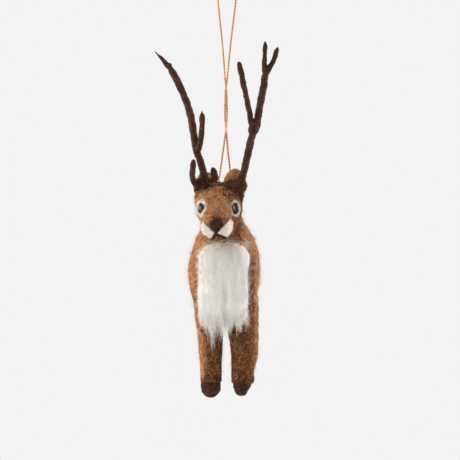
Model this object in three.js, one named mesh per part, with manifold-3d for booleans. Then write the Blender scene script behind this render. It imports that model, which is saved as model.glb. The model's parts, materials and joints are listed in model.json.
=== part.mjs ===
// A needle-felted wool reindeer that hangs by a long loop of twisted thread.
// Millimetres, +Z up. The figure faces -Y, and its own left is +X.
// Heights are written above the hoof soles. The whole is then lowered, so that the origin
// lies at the hanging point, under the top of the thread's loop.

import * as THREE from "three";
import { mergeVertices } from "three/addons/utils/BufferGeometryUtils.js";
import Module from "manifold-3d";

const wasm = await Module();
wasm.setup();

// Driving dimensions

const HANG_HEIGHT = 211.4; // hanging point above the lowest sole
const FIT = 0.3; // clearance between pieces that touch

const TORSO_X = -0.6;
const TORSO_WIDTH = 35.4;
const TORSO_HEIGHT = 51;
const OUTSIDE = TORSO_HEIGHT; // reach of a cutting tool beyond what it cuts
const CHEST = { y: -24, z: 64.2 };
const RUMP = { y: 38, z: 61 };
const TORSO_TAPER = [1, 1, 0.97, 0.9, 0.88, 0.87]; // share of the full girth, chest to rump
const CHEST_ROUNDING = 16;
const RUMP_ROUNDING = 17;
const TORSO_SQUARENESS = 2.3; // 2 is a true ellipse

const NECK_RADIUS = 11.4;
const NECK_INSET = 24; // foot of the neck behind the chest
const NECK_RISE = 7; // and above the torso's axis

const HEAD_BACK = { x: -2.4, y: -6, z: 99.5 };
const NOSE_TIP = { x: -1.1, y: -41, z: 81.8 };
const HEAD_RADII = [11.2, 11.4, 10.9, 9, 7.5, 6.7]; // skull to muzzle
const SKULL_SHARE = 0.35; // the skull's middle, as a share of the way to the nose
const SKULL_ROUNDING = 12;
const MUZZLE_ROUNDING = 5.5;
const HEAD_SQUARENESS = 2.5;

const EYE_RISE = -0.2; // above the middle of the skull
const EYE_ANGLE = 36; // degrees from straight ahead
const FACE_TURN = 5; // degrees that the face turns to its own left
const EYE_BEAD_WIDTH = 3.8;
const EYE_BEAD_HEIGHT = 4.6;
const EYE_BEAD_THICKNESS = 3.4;
const EYE_PATCH_WIDTH = 6.8;
const EYE_PATCH_HEIGHT = 9;
const PATCH_THICKNESS = 0.8;

// Places on the face are from the tip of the muzzle: outwards to the side, and up.
const NOSE_WIDTH = 6.4;
const NOSE_RISE = 5.8;
const NOSE_DROP = 0.6;
const NOSE_THICKNESS = 1.4;
const CHEEK_THICKNESS = 1.2;
const CHEEK_INSET = 1; // inner corner of a cheek, beside the foot of the nose
const LEFT_CHEEK = { top: [6.9, 5.4], bulge: [10.2, 0.3], foot: [4.7, -2.4] };
const RIGHT_CHEEK = { top: [6.1, 3.9], bulge: [8.6, -0.6], foot: [2.7, -3.1] };
const CHEEK_LENGTH = 8.5;
const LEFT_MOUTH_CORNER = [4.2, -2.6];
const RIGHT_MOUTH_CORNER = [1.8, -2.8];
const MOUTH_LINE = 1;
const MOUTH_THICKNESS = 0.9;

const EAR_WIDTH = 11;
const EAR_THICKNESS = 4.2;
const EAR_INSET = 4; // in front of the back of the head
const EAR_SINK = 2.5; // root of the ear under the head's surface
const EAR_ROUNDING = 6;
const EAR_TAPER = [0.7, 1, 0.95]; // share of the full girth, root to tip
const LEFT_EAR = { angle: 52, length: 15, lean: 8 }; // degrees from upright, at the root and the tip
const RIGHT_EAR = { angle: -50, length: 13, lean: -8 };

// Depths and heights of the ruff are from the front of the chest.
const RUFF_X = 0.6;
const RUFF_WIDTH = 26.4;
const RUFF_THICKNESS = 9;
const RUFF_TAPER = [0.78, 0.95, 1, 0.98, 0.86];
const RUFF_COURSE = [
  [4, 13.4],
  [-1.6, -7],
  [1.5, -34],
];
const RUFF_ROUNDING = 7;

const LEG_ROOT_SINK = 8; // root of a leg under the torso's axis
const KNEE_HEIGHT = 35;
const SHIN_HEIGHT = 19;
const HOOF_HEIGHT = 7;
const HOOF_ROUNDING = 4.2;
const SOLE_TRIM = 0.8; // rounded end that the flat sole takes away
const FRONT_LEG_RADII = [8, 7.2, 6.2, 5.5, 5.1, 4.5]; // root to hoof
const HIND_LEG_RADII = [9, 7.8, 6.6, 5.7, 4.9, 3.6];
const FRONT_LEG_INSET = 12; // behind the chest
const HIND_LEG_INSET = 14; // before the rump
const LEG_SPLAY = 3; // a leg's root from its foot, towards the middle of the body
const FRONT_LEFT = { root: 8, knee: 9, shin: 9.2, hoof: 8.6, sole: 1 };
const FRONT_RIGHT = { root: -8.4, knee: -7, shin: -6.4, hoof: -6.5, sole: 0 };
const HIND_LEFT = { root: 5.8, knee: 7.6, shin: 8.9, hoof: 5.2, sole: 1 };
const HIND_RIGHT = { root: -8, knee: -9.8, shin: -10.6, hoof: -9.6, sole: 0 };

const TAIL_RADIUS = 2.9;
const TAIL_LENGTH = 13;
const TAIL_SINK = 7; // root of the tail inside the rump
const TAIL_RISE = 11; // root of the tail above the rump's middle
const TAIL_DROP = 5;

const BURR_RADIUS = 5;
const LEFT_BURR_ANGLES = [12, 32, 54]; // degrees from upright, round the skull
const RIGHT_BURR_ANGLES = [-50, -34, -18];

// Antlers: each course of points is given from the antler's root, where the wire bends.
const LEFT_ROOT = { angle: 41, rise: 4.9 }; // degrees from upright, and height over the skull
const RIGHT_ROOT = { angle: -27.5, rise: 2.6 };
const ROOT_BALL = 2.3;
const ROOT_LEAN = 22; // degrees that the beam's way out of its burr opens
const WIRE_DIAMETER = 1.2;
const ANCHOR_LENGTH = 9;
const BEAM_RADIUS = 1.8;
const TINE_RADIUS = 1.4;
const PRONG_RADIUS = 1.2;
const JOINT_WRAP_RADIUS = 2.6;
const BROW_RADIUS = 1.3;
const LEFT_LOWER_COURSE = [
  [0, 0, 0],
  [1.1, 0.2, 4.5],
  [2.3, 0.7, 10.3],
  [3.5, 1, 15.2],
  [4.6, 1.5, 20.4],
  [5.6, 2, 25.4],
];
const LEFT_UPPER_COURSE = [
  [7.4, 2.2, 27.2],
  [8.1, 2.7, 33],
  [9.1, 3.4, 38.9],
  [10.2, 4, 44.8],
  [11.1, 4.7, 50.8],
  [11.4, 5, 54.6],
];
const LEFT_WRAP_COURSE = [
  [4.5, 1.6, 22.6],
  [6.2, 2, 26.4],
  [7.7, 2.3, 30.2],
];
const LEFT_INNER_COURSE = [
  [5, 0.9, 26],
  [4.1, -0.2, 32.8],
  [2.9, -1, 38.6],
  [1.7, -1.7, 44.4],
  [0.6, -2.3, 50.2],
  [-1.2, -3, 58.2],
];
const LEFT_FORK_INNER_COURSE = [
  [11, 5, 51.6],
  [10.9, 5.5, 59.7],
  [11.2, 6, 69.2],
];
const LEFT_FORK_OUTER_COURSE = [
  [11.5, 5, 51.8],
  [14, 6, 56.8],
  [15.9, 6.5, 60.9],
  [17.4, 7, 66.4],
];
const RIGHT_BEAM_COURSE = [
  [0, 0, 0],
  [-0.7, 0.2, 4.1],
  [-2.5, 0.7, 10],
  [-4.2, 1.2, 15],
  [-5.8, 2, 23.9],
  [-7.4, 3, 32.8],
  [-10.7, 4, 41.8],
  [-14.3, 5, 49.8],
  [-18.6, 6, 56.8],
];
const RIGHT_TIP_COURSE = [
  [-17.2, 5.8, 54.2],
  [-22, 7, 60.6],
  [-26, 8, 63.8],
];
const RIGHT_MIDDLE_COURSE = [
  [-3.2, -0.8, 13.8],
  [-1.9, -1.2, 19.7],
  [-1.1, -1.6, 27],
  [-1.2, -2, 34.4],
];
const RIGHT_BROW_COURSE = [
  [-1, -1.6, -3.4],
  [-3.8, -3, -2.6],
  [-5.5, -5, 1.5],
  [-5.3, -5.5, 5.4],
  [-4.9, -5.5, 10.2],
];
const RIGHT_BACK_COURSE = [
  [1, 1.2, -2.8],
  [3.4, 1.5, -1.2],
  [5, 2, 1.5],
  [4.4, 2.3, 3.7],
  [3.2, 2.5, 6.4],
];

// The thread's course, from its right exit in the back, up, over the hook and down again.
const THREAD_DIAMETER = 0.9;
const THREAD_STEP = 3.2;
const TWIST_MIDDLE = 141.8; // height at which the loop is parted from the strands
const STITCH_DEPTH = 7; // the stitch's dip below the two exits
const EXIT_HOLE = 2.2;
const RIGHT_EXIT = [-6.7, 0, 87.2];
const LEFT_EXIT = [5.2, 0, 87.2];
const THREAD_COURSE = [
  RIGHT_EXIT,
  [-5.25, 0, 95.3],
  [-3.75, 0, 105.8],
  [-1.75, 0, 119.8],
  [-0.75, -0.25, 126.8],
  [0, -0.55, 132.3],
  [0.45, -0.35, 137.3],
  [0.55, 0, 141.8],
  [0.4, 0.4, 147.8],
  [0, 0.55, 153.3],
  [-0.6, 0.35, 159.3],
  [-1.6, 0.1, 172.8],
  [-2.9, 0, 185.8],
  [-4.1, 0, 197.3],
  [-5, 0, 203.8],
  [-4.6, 0, 208.3],
  [-2.6, 0, 211.1],
  [0, 0, 211.85],
  [2.8, 0, 211.1],
  [5.1, 0, 208.3],
  [5.7, 0, 203.8],
  [5, 0, 197.3],
  [3.6, 0, 185.8],
  [2.1, -0.1, 172.8],
  [0.8, -0.35, 159.3],
  [0, -0.55, 153.3],
  [-0.4, -0.4, 147.8],
  [-0.55, 0, 141.8],
  [-0.45, 0.35, 137.3],
  [0, 0.55, 132.3],
  [0.55, 0.25, 126.8],
  [1.2, 0, 119.8],
  [2.1, 0, 112.3],
  [3.7, 0, 98.3],
  LEFT_EXIT,
];

// Materials

const wool = (color) => new THREE.MeshStandardMaterial({ color, roughness: 0.95, metalness: 0 });
const caramelWool = wool("#9a673f");
const darkWool = wool("#3f2a20");
const whiteWool = wool("#e4dfd5");
const tanThread = wool("#c18a5c");
const blackGlass = new THREE.MeshStandardMaterial({ color: "#120c0b", roughness: 0.12, metalness: 0 });
const softIron = new THREE.MeshStandardMaterial({ color: "#55504b", roughness: 0.5, metalness: 1 });

// Solids: joining and cutting closed meshes

function weld(geometry) {
  geometry.deleteAttribute("normal");
  geometry.deleteAttribute("uv");
  const merged = mergeVertices(geometry);
  const corners = merged.index.array;
  const kept = [];
  for (let i = 0; i < corners.length; i += 3) {
    const [a, b, c] = corners.slice(i, i + 3);
    if (a !== b && b !== c && c !== a) kept.push(a, b, c);
  }
  return merged.setIndex(kept);
}

function solid(geometry) {
  const welded = weld(geometry);
  const vertProperties = Float32Array.from(welded.attributes.position.array);
  const triVerts = Uint32Array.from(welded.index.array);
  return new wasm.Manifold(new wasm.Mesh({ numProp: 3, vertProperties, triVerts }));
}

function surface(body) {
  const { vertProperties, triVerts } = body.getMesh();
  const geometry = new THREE.BufferGeometry();
  geometry.setAttribute("position", new THREE.BufferAttribute(vertProperties, 3));
  geometry.setIndex(new THREE.BufferAttribute(triVerts, 1));
  geometry.computeVertexNormals();
  return geometry;
}

const cut = (body, ...tools) => tools.reduce((rest, tool) => rest.subtract(tool), body);
const vector = (spot) => new THREE.Vector3(...spot);
const radians = THREE.MathUtils.degToRad;

// A felted roll: a turned profile whose axis is bent along a spine of points.
// girths run evenly along the spine, and each end is rounded over its own length.
// width and depth stretch the section, squareness fills its corners, and grow swells it all.

const ALONG_X = new THREE.Vector3(1, 0, 0);

function rollProfile(length, rounding, rings, capRings, grow) {
  const total = length + 2 * grow;
  const asked = rounding.map((cap) => cap + grow);
  const share = Math.min(1, total / (asked[0] + asked[1]));
  const [startCap, endCap] = asked.map((cap) => cap * share);
  const middle = total - startCap - endCap;
  const middleRings = middle > endCap / capRings ? rings : 0;
  const profile = [];
  for (let i = 0; i < capRings; i++) {
    const turn = ((i / capRings) * Math.PI) / 2;
    profile.push(new THREE.Vector2(Math.sin(turn), startCap * (1 - Math.cos(turn)) - grow));
  }
  for (let i = 0; i <= middleRings; i++) {
    const along = middleRings ? i / middleRings : 0;
    profile.push(new THREE.Vector2(1, startCap - grow + middle * along));
  }
  for (let i = 1; i <= capRings; i++) {
    const turn = ((i / capRings) * Math.PI) / 2;
    profile.push(new THREE.Vector2(Math.cos(turn), length + grow - endCap * (1 - Math.sin(turn))));
  }
  return profile;
}

function roll(form, grow = 0) {
  const { spine, girths, rounding, width = 1, depth = 1, squareness = 2 } = form;
  const { sides = 12, rings = 6, capRings = 3 } = form;
  const curve = new THREE.CatmullRomCurve3(spine);
  const length = curve.getLength();
  const girthCurve = new THREE.SplineCurve(girths.map((girth, i) => new THREE.Vector2(i, girth)));
  const geometry = new THREE.LatheGeometry(rollProfile(length, rounding, rings, capRings, grow), sides);
  const spots = geometry.attributes.position;
  for (let i = 0; i < spots.count; i++) {
    const along = spots.getY(i);
    const share = THREE.MathUtils.clamp(along / length, 0, 1);
    const tangent = curve.getTangentAt(share);
    const side = ALONG_X.clone().addScaledVector(tangent, -ALONG_X.dot(tangent)).normalize();
    const up = new THREE.Vector3().crossVectors(side, tangent);
    const girth = girthCurve.getPoint(share).y;
    const [x, z] = [spots.getX(i), spots.getZ(i)];
    const round = Math.hypot(x, z);
    const square = (Math.abs(x) ** squareness + Math.abs(z) ** squareness) ** (1 / squareness);
    const fill = round > 0 ? round / square : 0;
    const spot = curve.getPointAt(share).addScaledVector(tangent, along - share * length);
    spot.addScaledVector(side, x * fill * (girth * width + grow));
    spot.addScaledVector(up, z * fill * (girth * depth + grow));
    spots.setXYZ(i, spot.x, spot.y, spot.z);
  }
  return solid(geometry);
}

function ball(centre, radius) {
  const geometry = new THREE.SphereGeometry(radius, 10, 8);
  return solid(geometry.translate(centre.x, centre.y, centre.z));
}

function slab(bottom, top) {
  const geometry = new THREE.BoxGeometry(2 * OUTSIDE, 2 * OUTSIDE, top - bottom);
  return solid(geometry.translate(0, 0, (bottom + top) / 2));
}

// A straight prism of an outline in the XZ plane, from the depth front back to the depth back.
function prism(shape, front, back) {
  const geometry = new THREE.ExtrudeGeometry(shape, {
    depth: back - front,
    bevelEnabled: false,
    curveSegments: 5,
  });
  return solid(geometry.rotateX(Math.PI / 2).translate(0, back, 0));
}

const figure = new THREE.Group();

function add(name, body, material, group = figure) {
  const mesh = new THREE.Mesh(surface(body), material);
  mesh.name = name;
  group.add(mesh);
}

// Torso, neck and head

const headBack = new THREE.Vector3(HEAD_BACK.x, HEAD_BACK.y, HEAD_BACK.z);
const noseTip = new THREE.Vector3(NOSE_TIP.x, NOSE_TIP.y, NOSE_TIP.z);
const skullMiddle = headBack.clone().lerp(noseTip, SKULL_SHARE);

const torsoForm = {
  spine: [new THREE.Vector3(TORSO_X, CHEST.y, CHEST.z), new THREE.Vector3(TORSO_X, RUMP.y, RUMP.z)],
  girths: TORSO_TAPER,
  rounding: [CHEST_ROUNDING, RUMP_ROUNDING],
  width: TORSO_WIDTH / 2,
  depth: TORSO_HEIGHT / 2,
  squareness: TORSO_SQUARENESS,
  sides: 20,
  capRings: 5,
};
const headForm = {
  spine: [headBack, noseTip],
  girths: HEAD_RADII,
  rounding: [SKULL_ROUNDING, MUZZLE_ROUNDING],
  squareness: HEAD_SQUARENESS,
  sides: 20,
  capRings: 4,
};
const neckForm = {
  spine: [new THREE.Vector3(TORSO_X, CHEST.y + NECK_INSET, CHEST.z + NECK_RISE), skullMiddle],
  girths: [NECK_RADIUS, NECK_RADIUS],
  rounding: [NECK_RADIUS, NECK_RADIUS],
  sides: 16,
  rings: 2,
};
const torsoSpace = roll(torsoForm, FIT).add(roll(neckForm, FIT));
const headSpace = roll(headForm, FIT);
const headSurface = new THREE.Mesh(surface(roll(headForm)));

// The point where a line from the head's middle, in one direction, comes out of the head.
function onHead(middle, outwards) {
  const start = middle.clone().addScaledVector(outwards, OUTSIDE);
  return new THREE.Raycaster(start, outwards.clone().negate()).intersectObject(headSurface)[0].point;
}
const fromUpright = (angle) => new THREE.Vector3(Math.sin(radians(angle)), 0, Math.cos(radians(angle)));
const onSkull = (angle) => onHead(skullMiddle, fromUpright(angle));

// Legs and hooves: one roll of wool each, parted where the dark wool of the hoof begins

function legForm({ root, knee, shin, hoof, sole }, depth, radii) {
  const rootDepth = depth - Math.sign(depth) * LEG_SPLAY;
  const rootHeight = (CHEST.z + RUMP.z) / 2 - LEG_ROOT_SINK;
  return {
    spine: [
      new THREE.Vector3(root, rootDepth, rootHeight),
      new THREE.Vector3(knee, depth, KNEE_HEIGHT),
      new THREE.Vector3(shin, depth, SHIN_HEIGHT),
      new THREE.Vector3(hoof, depth, sole - SOLE_TRIM),
    ],
    girths: radii,
    rounding: [radii[0], HOOF_ROUNDING],
  };
}
const frontLegDepth = CHEST.y + FRONT_LEG_INSET;
const hindLegDepth = RUMP.y - HIND_LEG_INSET;
const legs = [
  { name: "front_left", sole: FRONT_LEFT.sole, form: legForm(FRONT_LEFT, frontLegDepth, FRONT_LEG_RADII) },
  { name: "front_right", sole: FRONT_RIGHT.sole, form: legForm(FRONT_RIGHT, frontLegDepth, FRONT_LEG_RADII) },
  { name: "hind_left", sole: HIND_LEFT.sole, form: legForm(HIND_LEFT, hindLegDepth, HIND_LEG_RADII) },
  { name: "hind_right", sole: HIND_RIGHT.sole, form: legForm(HIND_RIGHT, hindLegDepth, HIND_LEG_RADII) },
];
for (const { name, sole, form } of legs) {
  const whole = roll(form);
  const hoofTop = sole + HOOF_HEIGHT;
  const shank = whole.intersect(slab(hoofTop + FIT, hoofTop + 2 * OUTSIDE));
  add(`${name}_leg`, cut(shank, torsoSpace), caramelWool);
  add(`${name}_hoof`, whole.intersect(slab(sole, hoofTop)), darkWool);
}

const tailRoot = new THREE.Vector3(TORSO_X, RUMP.y - TAIL_SINK, RUMP.z + TAIL_RISE);
const tailForm = {
  spine: [tailRoot, tailRoot.clone().add(new THREE.Vector3(0, TAIL_LENGTH, -TAIL_DROP))],
  girths: [TAIL_RADIUS, TAIL_RADIUS, TAIL_RADIUS / 2],
  rounding: [TAIL_RADIUS, TAIL_RADIUS],
  rings: 3,
};
add("tail", cut(roll(tailForm), torsoSpace), caramelWool);

const ruffForm = {
  spine: RUFF_COURSE.map(([y, z]) => new THREE.Vector3(RUFF_X, CHEST.y + y, CHEST.z + z)),
  girths: RUFF_TAPER,
  rounding: [RUFF_ROUNDING, RUFF_ROUNDING],
  width: RUFF_WIDTH / 2,
  depth: RUFF_THICKNESS / 2,
  sides: 16,
};
const legSpaces = legs.map(({ form }) => roll(form, FIT));
add("chest_ruff", cut(roll(ruffForm), torsoSpace, headSpace, ...legSpaces), whiteWool);

// Antler roots: burr, wire anchor, and the ball at which the wool-wrapped wire bends

const rootOf = ({ angle, rise }) => onSkull(angle).addScaledVector(fromUpright(angle), rise);
const leftRoot = rootOf(LEFT_ROOT);
const rightRoot = rootOf(RIGHT_ROOT);
const courseFrom = (root, course) => course.map((spot) => vector(spot).add(root));

const burrForm = (angles) => ({
  spine: angles.map(onSkull),
  girths: [BURR_RADIUS, BURR_RADIUS],
  rounding: [BURR_RADIUS, BURR_RADIUS],
  rings: 3,
});

// The cone that a beam sweeps as it leans, opening upwards from the root.
function leanSpace(root, course) {
  const reach = 4 * BURR_RADIUS;
  const mouth = ROOT_BALL + FIT;
  const opening = mouth + reach * Math.tan(radians(ROOT_LEAN));
  const cone = new THREE.CylinderGeometry(opening, mouth, reach, 12).translate(0, reach / 2, 0);
  const way = vector(course[1]).normalize();
  cone.applyQuaternion(new THREE.Quaternion().setFromUnitVectors(new THREE.Vector3(0, 1, 0), way));
  return solid(cone.translate(root.x, root.y, root.z)).add(ball(root, mouth));
}

// The anchor runs from under the root's socket towards the middle of the skull.
function anchorForm(root, start = ROOT_BALL + 2 * FIT) {
  const inwards = skullMiddle.clone().sub(root).normalize();
  const end = ROOT_BALL + 2 * FIT + ANCHOR_LENGTH;
  return {
    spine: [start, end].map((reach) => root.clone().addScaledVector(inwards, reach)),
    girths: [WIRE_DIAMETER / 2, WIRE_DIAMETER / 2],
    rounding: [WIRE_DIAMETER / 2, WIRE_DIAMETER / 2],
    sides: 8,
    rings: 1,
    capRings: 1,
  };
}

// A tine of wrapped wire, tapering to a blunt point.
const tineForm = (root, course, radius) => ({
  spine: courseFrom(root, course),
  girths: [radius, radius, radius],
  rounding: [radius, 2 * radius],
  sides: 8,
  rings: 2 * course.length,
  capRings: 2,
});

const antlerRoots = [
  { side: "left", root: leftRoot, burr: burrForm(LEFT_BURR_ANGLES), course: LEFT_LOWER_COURSE },
  { side: "right", root: rightRoot, burr: burrForm(RIGHT_BURR_ANGLES), course: RIGHT_BEAM_COURSE },
];
const anchorSpaces = antlerRoots.map(({ root }) => roll(anchorForm(root, ROOT_BALL / 2), FIT));
const leanSpaces = antlerRoots.map(({ root, course }) => leanSpace(root, course));
const burrSpaces = antlerRoots.map(({ burr }) => roll(burr, FIT));
const browForm = tineForm(rightRoot, RIGHT_BROW_COURSE, BROW_RADIUS);
const backForm = tineForm(rightRoot, RIGHT_BACK_COURSE, BROW_RADIUS);
const tineSpaces = [roll(browForm, FIT), roll(backForm, FIT)];

antlerRoots.forEach(({ side, root, burr }, i) => {
  const collar = cut(roll(burr), headSpace, leanSpaces[i], anchorSpaces[i], ...tineSpaces);
  add(`${side}_antler_burr`, collar, darkWool);
  add(`${side}_wire_anchor`, roll(anchorForm(root)), softIron);
});
add("right_brow_tine", cut(roll(browForm), headSpace, leanSpaces[1], tineSpaces[1]), darkWool);
add("right_back_tine", cut(roll(backForm), headSpace, leanSpaces[1]), darkWool);

// Ears, leaves of wool behind the antlers

function earForm({ angle, length, lean }) {
  const middle = skullMiddle.clone().setY(HEAD_BACK.y - EAR_INSET);
  const foot = onHead(middle, fromUpright(angle)).addScaledVector(fromUpright(angle), -EAR_SINK);
  return {
    spine: [foot, foot.clone().addScaledVector(fromUpright(lean), length)],
    girths: EAR_TAPER,
    rounding: [EAR_ROUNDING / 2, EAR_ROUNDING],
    width: EAR_WIDTH / 2,
    depth: EAR_THICKNESS / 2,
    rings: 3,
  };
}
for (const [side, ear] of [
  ["left", LEFT_EAR],
  ["right", RIGHT_EAR],
]) {
  const leaf = cut(roll(earForm(ear)), headSpace, ...burrSpaces, ...leanSpaces, ...tineSpaces);
  add(`${side}_ear`, leaf, caramelWool);
}

// Pads felted onto the head: each is the head, swollen by the pad's thickness, inside an outline

const padded = (outline, thickness) => cut(roll(headForm, thickness).intersect(outline), headSpace);

function eyeFrame(sign) {
  const turn = radians(FACE_TURN + sign * EYE_ANGLE);
  const outwards = new THREE.Vector3(Math.sin(turn), -Math.cos(turn), 0);
  const middle = skullMiddle.clone().setZ(skullMiddle.z + EYE_RISE);
  return { turn, seat: onHead(middle, outwards) };
}

function eyeBead({ seat, turn }, grow = 0) {
  const bead = new THREE.SphereGeometry(1, 12, 8).rotateX(Math.PI / 2);
  bead.scale(EYE_BEAD_WIDTH / 2 + grow, EYE_BEAD_THICKNESS / 2 + grow, EYE_BEAD_HEIGHT / 2 + grow);
  return solid(bead.rotateZ(turn).translate(seat.x, seat.y, seat.z));
}

function eyePatch({ seat, turn }) {
  const oval = new THREE.Shape().absellipse(0, 0, EYE_PATCH_WIDTH / 2, EYE_PATCH_HEIGHT / 2, 0, 2 * Math.PI);
  const tool = surface(prism(oval, -EYE_PATCH_WIDTH, EYE_PATCH_WIDTH / 2));
  return padded(solid(tool.rotateZ(turn).translate(seat.x, seat.y, seat.z)), PATCH_THICKNESS);
}

const eyes = [
  { side: "left", frame: eyeFrame(1) },
  { side: "right", frame: eyeFrame(-1) },
];
const beadSpaces = eyes.map(({ frame }) => eyeBead(frame, FIT));
eyes.forEach(({ side, frame }, i) => {
  add(`${side}_eye_bead`, eyeBead(frame), blackGlass);
  add(`${side}_eye_patch`, cut(eyePatch(frame), beadSpaces[i]), whiteWool);
});
add("head", cut(roll(headForm), ...beadSpaces, ...leanSpaces, ...anchorSpaces), caramelWool);

// Outlines on the muzzle, seen from the front and measured from its tip.
const onMuzzle = ([x, z]) => new THREE.Vector2(NOSE_TIP.x + x, NOSE_TIP.z + z);

function noseOutline() {
  const half = NOSE_WIDTH / 2;
  const bend = half / 3;
  const foot = onMuzzle([0, -NOSE_DROP]);
  const left = onMuzzle([-half, NOSE_RISE]);
  const right = onMuzzle([half, NOSE_RISE]);
  const waist = (foot.y + right.y) / 2;
  const shape = new THREE.Shape().moveTo(foot.x, foot.y);
  shape.quadraticCurveTo(right.x, waist, right.x, right.y - bend);
  shape.quadraticCurveTo(right.x, right.y, right.x - bend, right.y);
  shape.lineTo(left.x + bend, left.y);
  shape.quadraticCurveTo(left.x, left.y, left.x, left.y - bend);
  shape.quadraticCurveTo(left.x, waist, foot.x, foot.y);
  return shape;
}

function cheekOutline(sign, { top, bulge, foot }) {
  const [first, tip, side, low] = [[CHEEK_INSET, -NOSE_DROP - FIT], top, bulge, foot].map(([x, z]) =>
    onMuzzle([sign * x, z]),
  );
  const shape = new THREE.Shape().moveTo(first.x, first.y);
  return shape.lineTo(tip.x, tip.y).quadraticCurveTo(side.x, side.y, low.x, low.y);
}

function mouthOutline() {
  const top = -NOSE_DROP - FIT;
  const [left, leftDrop] = LEFT_MOUTH_CORNER;
  const [right, rightDrop] = RIGHT_MOUTH_CORNER;
  const corners = [
    [0, top],
    [-right, rightDrop],
    [-right, rightDrop - MOUTH_LINE],
    [0, top - MOUTH_LINE],
    [left, leftDrop - MOUTH_LINE],
    [left, leftDrop],
  ];
  return new THREE.Shape(corners.map(onMuzzle));
}

const muzzleFront = NOSE_TIP.y - MUZZLE_ROUNDING;
const muzzleBack = NOSE_TIP.y + MUZZLE_ROUNDING;
const noseTool = prism(noseOutline(), muzzleFront, muzzleBack);
const mouthTool = prism(mouthOutline(), muzzleFront, muzzleBack);
add("nose", padded(noseTool, NOSE_THICKNESS), darkWool);
add("mouth_line", padded(mouthTool, MOUTH_THICKNESS), darkWool);
for (const [side, sign, cheek] of [
  ["left", 1, LEFT_CHEEK],
  ["right", -1, RIGHT_CHEEK],
]) {
  const tool = prism(cheekOutline(sign, cheek), muzzleFront, NOSE_TIP.y + CHEEK_LENGTH);
  add(`${side}_cheek`, cut(padded(tool, CHEEK_THICKNESS), noseTool, mouthTool), whiteWool);
}

// Antlers: wool wrapped on wire

const beamForm = (root, course) => ({ ...tineForm(root, course, BEAM_RADIUS), sides: 10 });

// The wire starts under the root ball and stops short of the beam's far end.
function wireForm(root, course, radius, start) {
  const spine = courseFrom(root, course);
  const [first, second] = spine;
  const [last, beforeLast] = spine.slice(-2).reverse();
  first.addScaledVector(second.clone().sub(first).normalize(), -start);
  last.lerp(beforeLast, 0.5);
  const rings = 2 * course.length;
  return { spine, girths: [radius, radius], rounding: [radius, radius], sides: 6, rings, capRings: 1 };
}
const wireRadius = WIRE_DIAMETER / 2;
const wireSpace = (root, course) => roll(wireForm(root, course, wireRadius + FIT, ROOT_BALL + FIT));

const leftAntler = new THREE.Group();
const leftWireCourse = [...LEFT_LOWER_COURSE.slice(0, -1), ...LEFT_UPPER_COURSE.slice(1)];
const leftWireSpace = wireSpace(leftRoot, leftWireCourse);
const leftWrap = {
  spine: courseFrom(leftRoot, LEFT_WRAP_COURSE),
  girths: [JOINT_WRAP_RADIUS, JOINT_WRAP_RADIUS],
  rounding: [JOINT_WRAP_RADIUS, JOINT_WRAP_RADIUS],
  sides: 10,
  rings: 2,
};
const leftWrapSpace = roll(leftWrap, FIT);
const leftUpper = beamForm(leftRoot, LEFT_UPPER_COURSE);
const leftUpperSpace = roll(leftUpper, FIT);
const leftInner = tineForm(leftRoot, LEFT_INNER_COURSE, TINE_RADIUS);
const leftForkInner = tineForm(leftRoot, LEFT_FORK_INNER_COURSE, PRONG_RADIUS);
const leftForkOuter = tineForm(leftRoot, LEFT_FORK_OUTER_COURSE, PRONG_RADIUS);
const leftLower = roll(beamForm(leftRoot, LEFT_LOWER_COURSE)).add(ball(leftRoot, ROOT_BALL));
add("left_lower_beam", cut(leftLower, leftWrapSpace, leftWireSpace), darkWool, leftAntler);
add("left_joint_wrap", cut(roll(leftWrap), leftWireSpace), darkWool, leftAntler);
add("left_upper_beam", cut(roll(leftUpper), leftWrapSpace, leftWireSpace), darkWool, leftAntler);
add("left_inner_tine", cut(roll(leftInner), leftWrapSpace, leftUpperSpace), darkWool, leftAntler);
add("left_fork_inner", cut(roll(leftForkInner), leftUpperSpace), darkWool, leftAntler);
add("left_fork_outer", cut(roll(leftForkOuter), leftUpperSpace, roll(leftForkInner, FIT)), darkWool, leftAntler);
add("left_antler_wire", roll(wireForm(leftRoot, leftWireCourse, wireRadius, ROOT_BALL)), softIron, leftAntler);

const rightAntler = new THREE.Group();
const rightBeam = beamForm(rightRoot, RIGHT_BEAM_COURSE);
const rightBeamSpace = roll(rightBeam, FIT);
const rightBeamBall = roll(rightBeam).add(ball(rightRoot, ROOT_BALL));
const rightTip = tineForm(rightRoot, RIGHT_TIP_COURSE, PRONG_RADIUS);
const rightMiddle = tineForm(rightRoot, RIGHT_MIDDLE_COURSE, TINE_RADIUS);
const rightWire = wireForm(rightRoot, RIGHT_BEAM_COURSE, wireRadius, ROOT_BALL);
add("right_beam", cut(rightBeamBall, wireSpace(rightRoot, RIGHT_BEAM_COURSE)), darkWool, rightAntler);
add("right_tip", cut(roll(rightTip), rightBeamSpace), darkWool, rightAntler);
add("right_middle_tine", cut(roll(rightMiddle), rightBeamSpace), darkWool, rightAntler);
add("right_antler_wire", roll(rightWire), softIron, rightAntler);

// Thread: the loop, its two strands, and the stitch through the back

const thread = new THREE.Group();
const threadCurve = new THREE.CatmullRomCurve3(THREAD_COURSE.map(vector));
const threadLength = threadCurve.getLength();

// The share of the length, between two others, at which the thread passes the middle of its twist.
function twistShare(low, high) {
  const rising = threadCurve.getPointAt(low).z < threadCurve.getPointAt(high).z;
  for (let i = 0; i < 30; i++) {
    const middle = (low + high) / 2;
    const below = threadCurve.getPointAt(middle).z < TWIST_MIDDLE;
    if (below === rising) low = middle;
    else high = middle;
  }
  return low;
}

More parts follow.
